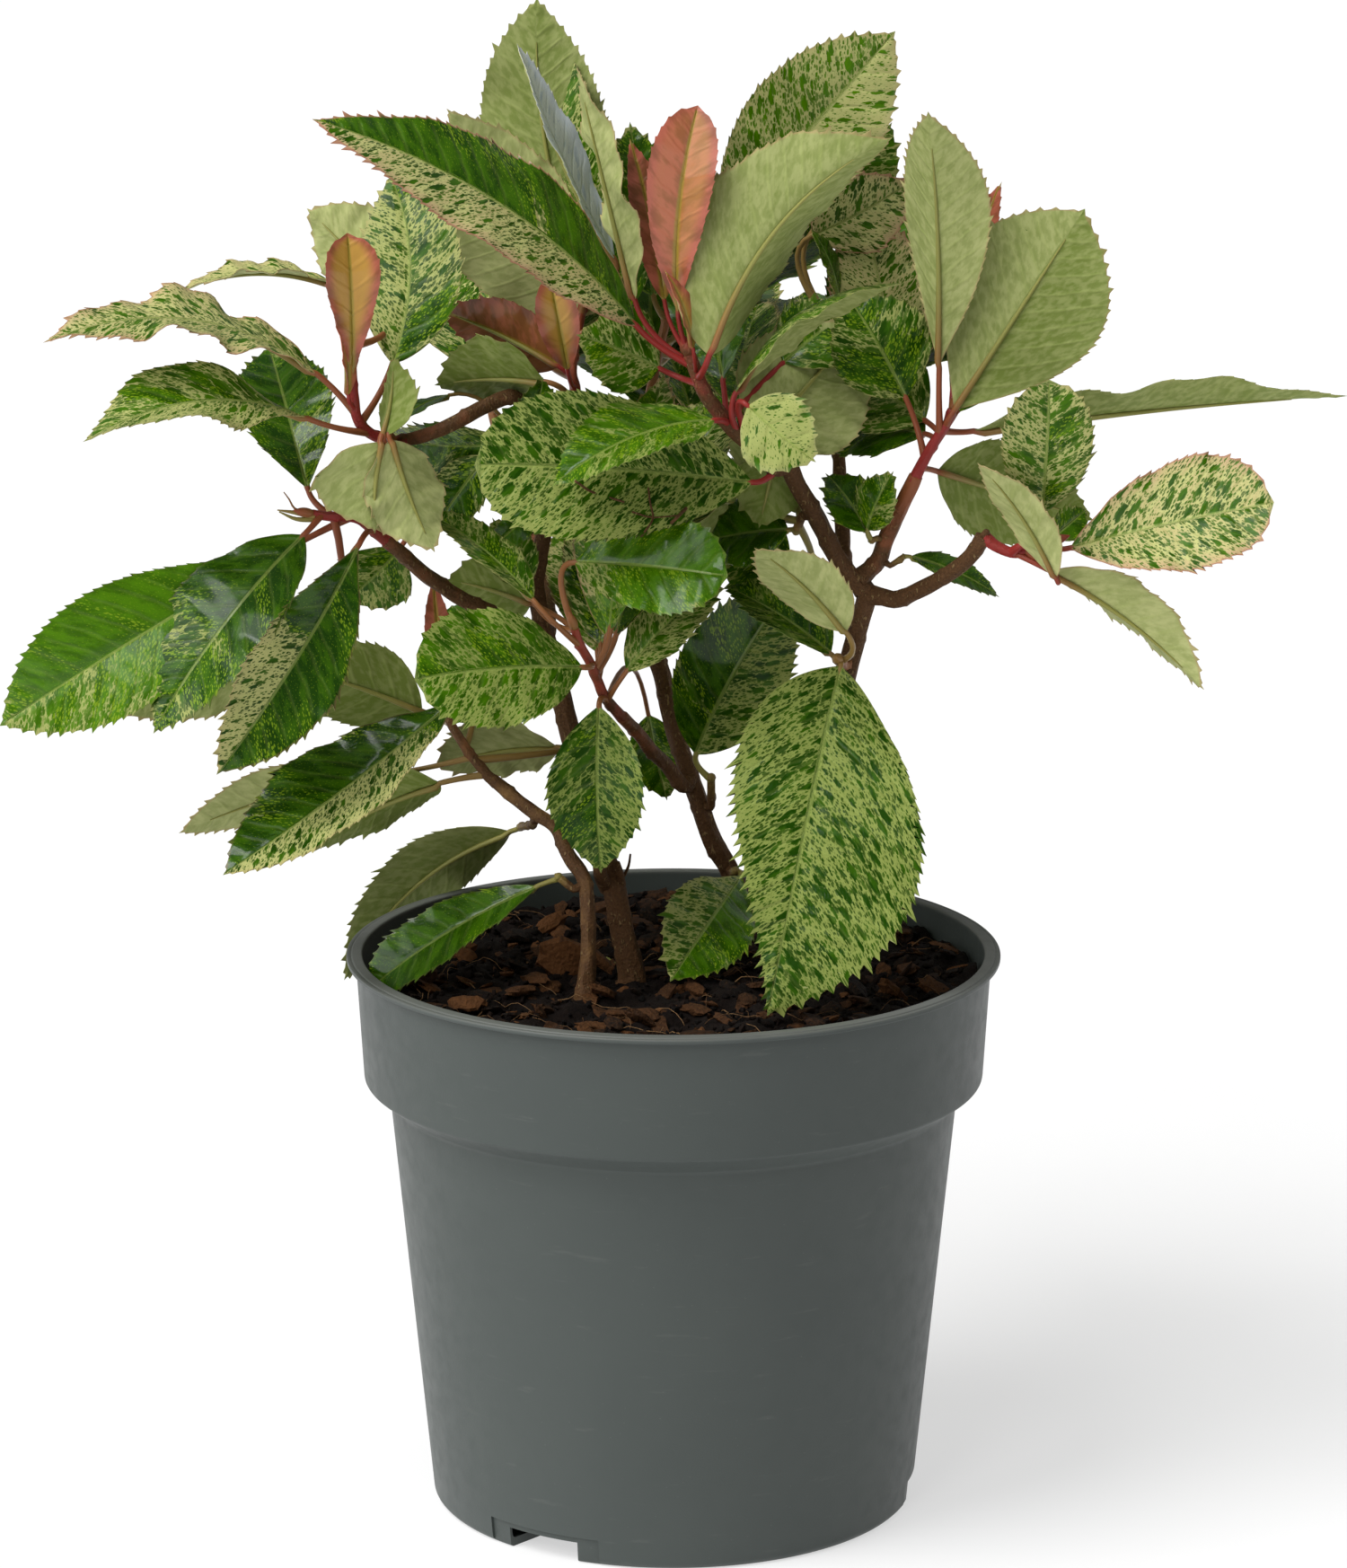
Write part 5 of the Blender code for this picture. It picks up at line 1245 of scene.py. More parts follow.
@dataclass
class LeafShape:
    """The fine shape that every blade gets: rim teeth, waves, quilting between veins, a sunk midrib."""

    tooth_pitch: float = 2.9 * MM
    tooth_height: float = 1.15 * MM
    tooth_rows: tuple[float, ...] = (0.0, 0.46, 0.8)
    tooth_shape: tuple[float, ...] = (-0.08, 0.16, 1.0)
    fewest_teeth: int = 8
    thickness: float = 0.42 * MM
    rim_thickness: float = 0.18 * MM
    groove: float = 0.28 * MM
    quilt: float = 0.2 * MM
    vein_pitch: float = 6.2 * MM
    vein_lean: float = 0.62
    vein_curl: float = 9.0
    columns: tuple[float, ...] = (0.0, 0.05, 0.25, 0.5, 0.75, 0.94, 1.0)

    def patch(self, blade: Blade, dress_of: Dress, seed: float, random: np.random.Generator) -> Patch:
        """The blade as a thin closed shell.

        Its midsurface is the midrib, plus v half widths to the side, plus a lift: the fold, waves
        that grow towards the rim, and a quilting between the side veins. The rim has three rows
        for each tooth, and the last is drawn out and forward to a point. Each ring runs along the
        underside, then the upper.

        Args:
            blade: the leaf in space.
            dress_of: its colours and wave.
            seed: a number that sets its marbling apart.
            random: the source of chance.

        Returns:
            The patch, with vein, skin and form values.
        """
        length = blade.length
        teeth = max(self.fewest_teeth, round(length / self.tooth_pitch))
        u = (np.arange(teeth)[:, None] + np.array(self.tooth_rows)).ravel() / teeth
        u = 0.006 + 0.986 * np.append(u, 1.0)
        v = np.array([-c for c in reversed(self.columns[1:])] + list(self.columns))
        tangent, side, up = blade.frame(u)
        half = blade.half_width(u[:, None], v)
        out = half * v
        along = (u * length)[:, None] + 0 * out
        spike = self.teeth(teeth, u, v, blade, dress_of, random)
        lift = self.lift(blade, u, v, half, out, along, dress_of, random)
        reach = out * math.cos(blade.fold) + np.sign(v) * spike * 0.75
        middle = (blade.midrib(u)[:, None] + reach[..., None] * side[:, None] + lift[..., None] * up[:, None]
                  + (np.maximum(spike, 0) * 0.85)[..., None] * tangent[:, None])
        thin = (self.thickness + (self.rim_thickness - self.thickness) * np.abs(v) ** 2) / 2
        sink = np.where(v == 0, self.groove, 0.0)
        top = middle + (thin - sink)[None, :, None] * up[:, None]
        low = middle - thin[None, :, None] * up[:, None]
        rings = np.concatenate([low[:, ::-1], top], 1)
        values = self.values(u, along, out, half, v, dress_of, seed)
        tail = blade.tip + tangent[-1] * 1.2 * MM
        return loft(rings, blade.base - tangent[0] * 0.3 * MM, tail, values)

    def teeth(self, teeth: int, u: Array, v: Array, blade: Blade, dress_of: Dress,
              random: np.random.Generator) -> Array:
        """How far each rim point is drawn out: mostly short teeth of uneven height, with some long ones.

        Args:
            teeth: how many teeth a side has.
            u: the rows.
            v: the columns.
            blade: the leaf in space.
            dress_of: its spines and age.
            random: the source of chance.

        Returns:
            The lengths, rows by columns.
        """
        heights = random.uniform(0.45, 1.0, (teeth, 2)) + 1.3 * random.uniform(0, 1, (teeth, 2)) ** 6
        shape = np.array(self.tooth_shape)
        rows = np.concatenate([(heights[:, None] * shape[None, :, None]).reshape(-1, 2), np.zeros((1, 2))])
        rows *= (ease(0.08, 0.28, u) * (1 - 0.5 * ease(0.93, 1, u)))[:, None]
        size = self.tooth_height * dress_of.spine * min(1.0, blade.half / (10 * MM))
        spike = np.zeros((len(u), len(v)))
        spike[:, 0], spike[:, -1] = rows[:, 0] * size, rows[:, 1] * size
        return spike

    def lift(self, blade: Blade, u: Array, v: Array, half: Array, out: Array, along: Array, dress_of: Dress,
             random: np.random.Generator) -> Array:
        """How far the midsurface stands above the midrib's plane: fold, cup, waves and quilting.

        Args:
            blade: the leaf in space.
            u: the rows.
            v: the columns.
            half: the half width at each point.
            out: the distance from the midrib.
            along: the length along it.
            dress_of: its wave.
            random: the source of chance.

        Returns:
            The heights, rows by columns.
        """
        phase = random.uniform(0, TURN, 4)
        swing = np.where(v > 0, phase[0], phase[1])[None]
        waves = 2.1 + 1.2 * math.sin(phase[2])
        wave = np.sin(TURN * waves * u[:, None] + swing) + 0.5 * np.sin(TURN * 2.3 * waves * u[:, None] + 2 * swing)
        size = blade.half / (16 * MM)
        swell = (np.sin(math.pi * u) ** 0.7)[:, None]
        waved = dress_of.wave * MM * size * wave * np.abs(v) ** 1.6 * swell
        cup = random.uniform(-0.12, 0.05) * half * v**2
        steep = np.sqrt(out**2 + (0.12 * blade.half) ** 2) - 0.12 * blade.half
        quilting = np.abs(v) * (1 - np.abs(v)) * np.cos(TURN * self.vein(along, out) / self.vein_pitch)
        return waved + cup + math.sin(blade.fold) * steep + self.quilt * 4 * size * quilting

    def vein(self, along: Array, out: Array) -> Array:
        """Where the side vein through each point leaves the midrib: it leans and curls to the tip."""
        return along - self.vein_lean * np.abs(out) - self.vein_curl * out**2

    def values(self, u: Array, along: Array, out: Array, half: Array, v: Array, dress_of: Dress,
               seed: float) -> dict[str, Array]:
        """What the finish reads at each point of a blade.

        Args:
            u: the rows.
            along: the length along the midrib.
            out: the distance from it, to the left below zero.
            half: the half width at each point.
            v: the columns.
            dress_of: the leaf's colours.
            seed: sets its marbling apart.

        Returns:
            vein, skin and form, each rings by sides by three.
        """
        ones = np.ones_like(out)
        apart = seed + np.where(v > 0, 7.0, 0.0)[None] * ones
        share = np.where(v > 0, dress_of.right, dress_of.left)[None] + dress_of.edge * ease(0.45, 1, np.abs(v))
        share = share * ease(dress_of.start - 0.2, dress_of.start + 0.02, u)[:, None]
        edge = (half - np.abs(out)) * 100
        rib = np.abs(out) / (0.7 * MM * (1 - 0.65 * u))[:, None]
        rows = {
            "vein": np.stack([np.abs(out) * 1.2, self.vein(along, out), apart], -1),
            "form": np.stack([edge, rib, dress_of.tone * ones], -1),
        }
        rows = {key: np.concatenate([value[:, ::-1], value], 1) for key, value in rows.items()}
        skin = [np.stack([share * ones, dress_of.pink * ones, below * ones], -1) for below in (1.0, 0.0)]
        rows["skin"] = np.concatenate([skin[0][:, ::-1], skin[1]], 1)
        return rows


@dataclass
class Stalk:
    """A leaf's stalk, and the raised midrib under its blade that it runs on into."""

    root_radius: float = 1.25 * MM
    neck_radius: float = 0.85 * MM
    end_radius: float = 0.16 * MM
    reach: float = 0.86
    sunk: float = 0.13 * MM
    sides: int = 8

    def patch(self, blade: Blade, root: Array, redness: float) -> Patch:
        """A quadratic curve from the twig to the blade, then a line just under the midrib.

        Args:
            blade: the leaf.
            root: where the stalk leaves the twig.
            redness: how red it is, from 0 to 1.

        Returns:
            The patch, with bark values.
        """
        start = blade.frame(np.array([0.0]))[0][0]
        knee = blade.base - start * 0.45 * np.linalg.norm(blade.base - root)
        t = np.linspace(0, 1, 10)[:, None]
        neck = (1 - t) ** 2 * root + 2 * t * (1 - t) * knee + t**2 * blade.base
        u = np.linspace(0.03, self.reach, 22)
        up = blade.frame(u)[2]
        scale = min(1.0, blade.half / (14 * MM)) * 0.5 + 0.5
        keel = (self.neck_radius * (1 - u / self.reach) ** 0.8 + self.end_radius) * scale
        under = blade.midrib(u) - up * (keel + self.sunk)[:, None]
        swell = self.neck_radius + (self.root_radius - self.neck_radius) * (1 - t[:, 0]) ** 3
        radii = np.concatenate([swell * scale, keel])
        red = np.concatenate([np.full(len(t), 1.0), np.clip(0.7 - 2.2 * u, 0, 1)])
        red *= redness
        bark = np.stack([np.zeros_like(red), red, np.zeros_like(red)], -1)
        return tube(np.concatenate([neck, under]), radii, self.sides, values={"bark": bark})


@dataclass
class LimbShape:
    """The relief of stems, boughs and twigs: rings where leaves once grew, furrows and a swollen foot."""

    step: float = 1.1 * MM
    sides: int = 20
    ring_pitch: float = 15 * MM
    ring_height: float = 0.4 * MM
    ring_width: float = 0.8 * MM
    furrow: float = 0.12 * MM
    sunk: float = 2.0 * MM

    def patch(self, points: list[Array], radii: list[float], age: tuple[float, float], red: float,
              random: np.random.Generator) -> Patch:
        """A tube whose radius gets bell-shaped rings, and furrows that wander round it as it rises.

        Args:
            points: the places that it passes through.
            radii: the radius at each.
            age: its age at its start and end.
            red: how red its young bark is.
            random: the source of chance.

        Returns:
            The patch, with bark values.
        """
        path, place = smooth_path(points, self.step)
        width = np.interp(place, range(len(radii)), radii)
        run = run_of(path)
        turn = TURN * np.arange(self.sides) / self.sides
        relief = np.zeros((len(path), self.sides))
        for at in np.arange(0.6, 1 + run[-1] / self.ring_pitch) * self.ring_pitch:
            at = at + random.uniform(-4, 4) * MM
            facing = random.uniform(0, TURN)
            bell = np.exp(-(((run - at) / self.ring_width) ** 2))
            relief += self.ring_height * bell[:, None] * (0.7 + 0.6 * np.cos(turn - facing))[None]
        for count in (3, 5, 7, 9):
            wander = 2.5 * np.sin(run * random.uniform(90, 240) + random.uniform(0, TURN))
            relief += self.furrow * np.sin(count * turn[None] + wander[:, None]) * (width / 3e-3)[:, None]
        share = run / run[-1]
        bark = np.stack([age[0] + (age[1] - age[0]) * share, np.full_like(share, red), share], -1)
        return tube(path, width, self.sides, relief, {"bark": bark})


class Plant:
    """The limbs and masses, grown in the order of their solids."""

    nudges = (0, 8, -8, 16, -16, 24, -24)
    limb_step = 11 * MM
    seed = 7
    tries = 90
    bud_length = 6 * MM
    full_twig = 1.7

    def __init__(self, leaf: LeafShape, stalk: Stalk, limb: LimbShape) -> None:
        """Takes the shapes of leaf, stalk and limb.

        Args:
            leaf: the fine shape of blades.
            stalk: the shape of stalks.
            limb: the relief of limbs and twigs.
        """
        self.leaf = leaf
        self.stalk = stalk
        self.limb = limb
        self.paths: dict[str, tuple[Array, Array]] = {}
        self.random = np.random.default_rng(11)
        self.leaves = 0

    def start(self, parent: str, from_tip: bool, first: Array, radius: float) -> tuple[list[Array], Array]:
        """The first two points of a limb or twig, at its parent's tip or side.

        Args:
            parent: the limb that it leaves.
            from_tip: whether it goes on from the tip.
            first: its first place, which finds the nearest on the parent's side.
            radius: its radius.

        Returns:
            The two points, and a point inside the parent where the bark starts.
        """
        path, radii = self.paths[parent]
        if from_tip:
            ahead = unit(path[-1] - path[-2])
            begin = path[-1] + ahead * GAP
            return [begin, begin + ahead * max(radius, MM)], begin - ahead * self.limb.sunk
        i = int(np.argmin(np.linalg.norm(path - first, axis=1)))
        along = unit(path[min(i + 1, len(path) - 1)] - path[max(i - 1, 0)])
        out = first - path[i]
        out = unit(out - along * (out @ along))
        begin = path[i] + out * (radii[i] + GAP)
        return [begin, begin + out * max(radius, MM)], path[i] + out * radii[i] * 0.3

    def grow_limb(self, limb: Limb) -> Patch:
        """One stem or bough.

        Args:
            limb: its places and radii.

        Returns:
            Its bark.
        """
        points = [VIEW.seen(*place) for place in limb.places]
        radii = [radius * MM for radius in limb.radii]
        if limb.parent:
            first, inside = self.start(limb.parent, limb.from_tip, points[0], radii[0])
            points = first + points[1:]
            radii = [radii[0]] + radii
            visible, widths = [inside] + points, [radii[0] * 1.3] + [radii[0] * 1.12] + radii[1:]
        else:
            points[0][2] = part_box(limb.name)[0].z
            points.insert(1, points[0] + np.array([0, 0, 2.5 * MM]))
            radii.insert(1, radii[0] * 0.86)
            visible, widths = [points[0] - np.array([0, 0, 4 * MM])] + points, [radii[0] * 1.35] + radii
        path, place = smooth_path(points, self.limb_step)
        self.paths[limb.name] = (path, np.interp(place, range(len(radii)), radii))
        return self.limb.patch(visible, widths, limb.age, limb.red, self.random)

    def grow_twig(self, mass: Mass) -> list[Patch]:
        """A mass's twig, with the bud at its end.

        Args:
            mass: the mass.

        Returns:
            The twig and the bud.
        """
        points = [VIEW.seen(*place) for place in mass.twig]
        first, inside = self.start(mass.parent, mass.from_tip, points[0], mass.radii[0] * MM)
        points = first + points[1:]
        path, place = smooth_path(points, self.limb_step)
        widths = [mass.radii[0] * MM, mass.radii[1] * MM]
        self.paths[mass.name] = (path, np.interp(place, [0, len(points) - 1], widths))
        swell = list(mass.stout * np.linspace(widths[0], widths[1], len(points)))
        twig = self.limb.patch([inside] + points, [swell[0] * 1.1] + swell, mass.age, min(1.0, mass.red + 0.25), self.random)
        ahead = unit(path[-1] - path[-2])
        t = np.linspace(0, 1, 8)
        reach = self.bud_length * min(1.0, mass.radii[0] / self.full_twig) ** 3
        bud = path[-1] + ahead * (t * reach)[:, None]
        fat = swell[-1] * (1.15 * np.sin(math.pi * (0.25 + 0.74 * t)) + 0.05)
        bark = np.stack([0 * t + mass.age[1], 0.8 * mass.red + 0.2 * t, t], -1)
        return [twig, tube(bud, fat, 10, values={"bark": bark})]

    def root_at(self, mass: Mass, at: float) -> Array:
        """The point this far along a mass's twig, from 0 to 1."""
        path, _ = self.paths[mass.name]
        run = run_of(path)
        return np.array([np.interp(at, run / run[-1], path[:, axis]) for axis in range(3)])

    def corners(self, node: str) -> KDTree:
        """The corners of a solid, to look up which leaves it holds."""
        verts = frame["nodes"][node].data.vertices
        tree = KDTree(len(verts))
        for i, vert in enumerate(verts):
            tree.insert(vert.co, i)
        tree.balance()
        return tree

    @staticmethod
    def stands(blade: Blade, tree: KDTree) -> bool:
        """Whether a solid holds this blade: at least three of its marks are corners there."""
        return sum(tree.find(Vector(mark))[2] < 0.03 * MM for mark in blade.marks()) >= 3

    def front(self, mass: Mass, tree: KDTree) -> list[tuple[Blade, Array, Dress]]:
        """The leaves that show, each with its tip where its solid's is.

        Args:
            mass: the mass.
            tree: its solid's corners.

        Returns:
            Each leaf's blade, root and dress.
        """
        found = []
        for leaf in mass.leaves:
            blades = [Blade.of(leaf, nudge) for nudge in self.nudges]
            blade = next((b for b in blades if self.stands(b, tree)), None)
            if blade is None:
                LOG.warning("%s: a leaf has no solid", mass.name)
                continue
            found.append((blade, self.root_at(mass, leaf.at), leaf.worn()))
        return found

    def behind(self, mass: Mass, tree: KDTree, random: np.random.Generator) -> list[tuple[Blade, Array, Dress]]:
        """The leaves round the back of the twig, set by the golden angle, that the solid holds.

        Args:
            mass: the mass.
            tree: its solid's corners.
            random: the source of chance that the solids used.

        Returns:
            Each leaf's blade, root and dress.
        """
        found = []
        path, _ = self.paths[mass.name]
        ahead = unit(path[-1] - path[0])
        beside = unit(np.cross(ahead, [0.1, 1.0, 0.2]))
        back = np.cross(ahead, beside)
        for number in range(self.tries):
            turn = number * GOLDEN_ANGLE + random.uniform(-0.3, 0.3)
            lean = math.radians(random.uniform(25, 85))
            length = random.uniform(58, 88) * MM
            ratio, arch = random.uniform(0.38, 0.46), random.uniform(0.03, 0.12)
            root = self.root_at(mass, 0.25 + 0.72 * ((number * 0.618) % 1.0))
            out = math.cos(turn) * beside + math.sin(turn) * back
            aim = unit(math.cos(lean) * ahead + math.sin(lean) * out + np.array([0, 0.45, -0.08]))
            base = root + aim * 13 * MM
            normal = unit(ahead + np.array([0, 0, 0.6]))
            normal = unit(normal - aim * (normal @ aim))
            blade = Blade(base, base + aim * length, normal, normal * arch * length, length * ratio / 2,
                          math.radians(12), 0.0, False, 0.8, 0.0)
            if self.stands(blade, tree):
                found.append((blade, root, self.chance_dress()))
            if len(found) == mass.behind:
                break
        return found

    def chance_dress(self) -> Dress:
        """A dress for a leaf that the photograph doesn't show, in the mix that it does show."""
        pick = self.random.choice(5, p=[0.4, 0.2, 0.2, 0.1, 0.1])
        kind = (Skin.MARBLED, Skin.GREEN, Skin.FLECKED, Skin.LEFT, Skin.RIGHT)[pick].value
        shift, wave = self.random.uniform(-0.12, 0.12), self.random.uniform(0.5, 1.8)
        return Dress(kind.left + shift, kind.right + shift, kind.edge, self.random.uniform(0.1, 0.6),
                     self.random.uniform(0.15, 0.6), wave)

    def build(self, bark: bpy.types.Material, grown: bpy.types.Material, young: bpy.types.Material) -> None:
        """Makes every limb's and mass's pieces.

        Args:
            bark: the finish of limbs, twigs and stalks.
            grown: the finish of grown leaves.
            young: the finish of young leaves.
        """
        for limb in LIMBS:
            make_piece(limb.name + "_bark", self.grow_limb(limb), bark, (limb.name,))
        twigs = {mass.name: self.grow_twig(mass) for mass in MASSES}
        trees = {mass.name: self.corners(mass.name) for mass in MASSES}
        leaves = {mass.name: self.front(mass, trees[mass.name]) for mass in MASSES}
        random = np.random.default_rng(self.seed)
        for mass in MASSES:
            leaves[mass.name] += self.behind(mass, trees[mass.name], random)
        for mass in MASSES:
            self.dress_mass(mass, twigs[mass.name], leaves[mass.name], bark, grown, young)
        self.add_bits(bark)
        LOG.info("%d leaves", self.leaves)

    @staticmethod
    def add_bits(bark: bpy.types.Material) -> None:
        """Makes the small things that sit on limbs and leaves: for each, a tube through its places."""
        patches = []
        bpy.context.view_layer.update()
        for bit in BITS:
            carrier = bpy.data.objects.get(bit.carrier)
            points = [meeting(carrier, *place) if carrier else VIEW.seen(*place) for place in bit.places]
            path, place = smooth_path(points, 1.2 * MM)
            radii = np.interp(place, [0, len(points) - 1], bit.radii) * MM
            bark_at = np.tile([bit.age, bit.red, 0.0], (len(path), 1))
            patches.append(tube(path, radii, 8, values={"bark": bark_at}))
        make_piece("stubs_and_sprigs", join(patches), bark)

    def dress_mass(self, mass: Mass, wood: list[Patch], leaves: list[tuple[Blade, Array, Dress]],
                   bark: bpy.types.Material, grown: bpy.types.Material, young: bpy.types.Material) -> None:
        """The pieces of one mass: its twig with all stalks, its grown leaves and its young ones.

        Args:
            mass: the mass.
            wood: the twig's patches.
            leaves: each leaf's blade, root and dress.
            bark: the finish of twig and stalks.
            grown: the finish of grown leaves.
            young: the finish of young leaves.
        """
        blades: dict[bool, list[Patch]] = {False: [], True: []}
        for blade, root, worn in leaves:
            self.leaves += 1
            wood.append(self.stalk.patch(blade, root, 1.0 if worn.young else mass.red))
            blades[worn.young].append(self.leaf.patch(blade, worn, self.leaves * 13.7, self.random))
        make_piece(mass.name + "_twigs", join(wood), bark, (mass.name,))
        for is_young, kind, finish in ((False, "_leaves", grown), (True, "_young", young)):
            if blades[is_young]:
                make_piece(mass.name + kind, join(blades[is_young]), finish, (mass.name,))


@dataclass
class Pot:
    """The nursery pot: a turned plastic wall with a rolled lip, a collar and three drain slots."""

    height: float = 0.165
    wall: float = 0.0018
    base: float = 0.0025
    lip_radius: float = 0.0950
    lip_height: float = 0.0018
    collar_top: float = 0.0922
    collar_foot: float = 0.0902
    collar_height: float = 0.1280
    neck_radius: float = 0.0828
    neck_height: float = 0.1225
    foot_radius: float = 0.0709
    foot_round: float = 0.0015
    slot_angles: tuple[float, ...] = (-122.5, -2.5, 117.5)
    slot_spread: float = 19.0
    slot_height: float = 0.0062
    slot_end: float = 0.040
    panel_spread: float = 30.0
    panel_height: float = 0.0080
    panel_depth: float = 0.0009
    sides: int = 256

    def profile(self) -> Array:
        """Radius and height round the section, from the axis inside, over the lip, to the axis below.

        Each corner is rounded by a quadratic curve that leaves its two sides at its own distance.
        """
        inside = self.foot_radius + (self.neck_radius - self.foot_radius) * self.base / self.neck_height
        low = self.height - self.lip_height
        corners = [
            (0, self.base, 0), (inside - self.wall, self.base, 1.5),
            (self.neck_radius - self.wall, self.neck_height, 2),
            (self.collar_foot - self.wall, self.collar_height + 0.003, 2),
            (self.collar_top - self.wall, self.height, 0.7),
            (self.lip_radius - 0.0016, self.height - 0.0002, 0.3),
            (self.lip_radius - 0.0013, self.height - 0.0006, 0.2),
            (self.lip_radius - 0.0009, self.height - 0.0004, 0.3),
            (self.lip_radius, self.height - 0.0005, 0.4), (self.lip_radius, low, 0.4),
            (self.collar_top + 0.0001, low - 0.0004, 0.5),
            (self.collar_foot, self.collar_height, 0.7), (self.neck_radius, self.neck_height, 1.2),
            (self.foot_radius, self.foot_round, 0.8), (self.foot_radius - self.foot_round, 0, 0.8),
            (0, 0, 0),
        ]
        points = [np.array(corners[0][:2])]
        for i in range(1, len(corners) - 1):
            before, at, after = (np.array(corners[j][:2]) for j in (i - 1, i, i + 1))
            room = corners[i][2] * MM
            a = at + unit(before - at) * min(room, np.linalg.norm(before - at) * 0.48)
            b = at + unit(after - at) * min(room, np.linalg.norm(after - at) * 0.48)
            for t in np.linspace(0, 1, 6):
                points.append((1 - t) ** 2 * a + 2 * t * (1 - t) * at + t**2 * b)
        points.append(np.array(corners[-1][:2]))
        return np.array(points)

    def shell(self) -> Patch:
        """The profile turned about the axis: each ring is a circle of the profile's radius at its height."""
        profile = self.profile()[1:-1]
        turn = -TURN * np.arange(self.sides) / self.sides
        ring = np.stack([np.cos(turn), np.sin(turn), 0 * turn], -1)
        rings = profile[:, 0, None, None] * ring + profile[:, 1, None, None] * np.array([0, 0, 1])
        return loft(rings, np.array([0, 0, self.base]), np.zeros(3))

    def block(self, angle: float, spread: float, radii: tuple[float, float],
              heights: tuple[float, float]) -> bpy.types.Object:
        """A cutter: a stretch of a ring between two radii and two heights, leaning with the wall.

        Args:
            angle: the middle of the stretch, in degrees.
            spread: how much of the circle it takes, in degrees.
            radii: inner and outer radius at the foot.
            heights: lowest and highest point.

        Returns:
            The cutter, hidden.
        """
        slope = (self.neck_radius - self.foot_radius) / self.neck_height
        turn = np.radians(angle + spread * np.linspace(0.5, -0.5, 17))
        corner = np.array([[radii[0] + slope * heights[0], heights[0]], [radii[1] + slope * heights[0], heights[0]],
                           [radii[1] + slope * heights[1], heights[1]], [radii[0] + slope * heights[1], heights[1]]])
        around = np.stack([np.cos(turn), np.sin(turn)], -1)
        flat = corner[None, :, 0, None] * around[:, None]
        rings = np.concatenate([flat, np.repeat(corner[None, :, 1, None], len(turn), 0)], -1)
        patch = loft(rings, rings[0].mean(0), rings[-1].mean(0))
        mesh = bpy.data.meshes.new("cutter")
        mesh.from_pydata(patch.points.tolist(), [], patch.quads.tolist() + patch.tris.tolist())
        cutter = bpy.data.objects.new("cutter", mesh)
        bpy.context.scene.collection.objects.link(cutter)
        cutter.hide_render = True
        return cutter

    def build(self, finish: bpy.types.Material) -> None:
        """Turns the pot, cuts its slots and panels, and sets it in place of its solid.

        Args:
            finish: the plastic.
        """
        pot = make_piece("pot_shell", self.shell(), finish, ("pot",), crease=40)
        cutters = []
        for angle in self.slot_angles:
            cutters.append(self.block(angle, self.panel_spread, (self.foot_radius - self.panel_depth, 0.1),
                                      (-0.004, self.panel_height)))
            cutters.append(self.block(angle, self.slot_spread, (self.slot_end, 0.1), (-0.004, self.slot_height)))
        for cutter in cutters:
            cut = pot.modifiers.new("cut", "BOOLEAN")
            cut.operation = "DIFFERENCE"
            cut.solver = "EXACT"
            cut.object = cutter
        graph = bpy.context.evaluated_depsgraph_get()
        pot.data = bpy.data.meshes.new_from_object(pot.evaluated_get(graph))
        pot.modifiers.clear()
        pot.data.shade_smooth()
        pot.data.set_sharp_from_angle(angle=math.radians(40))
        for cutter in cutters:
            bpy.data.objects.remove(cutter)


def ripples(x: Array, y: Array, random: np.random.Generator, longest: float, count: int) -> Array:
    """Rough ground: a sum of sine waves in all directions, each shorter wave lower than the last.

    Args:
        x: places across.
        y: places ahead.
        random: the source of chance.
        longest: the longest wave, in metres.
        count: how many waves.

    Returns:
        Heights with a spread of about one.
    """
    total = np.zeros_like(x)
    for i in range(count):
        wave = longest / 1.28**i
        turn, shift = random.uniform(0, TURN, 2)
        total += np.sin(TURN * (x * math.cos(turn) + y * math.sin(turn)) / wave + shift) / 1.13**i
    return total / math.sqrt(count / 2)


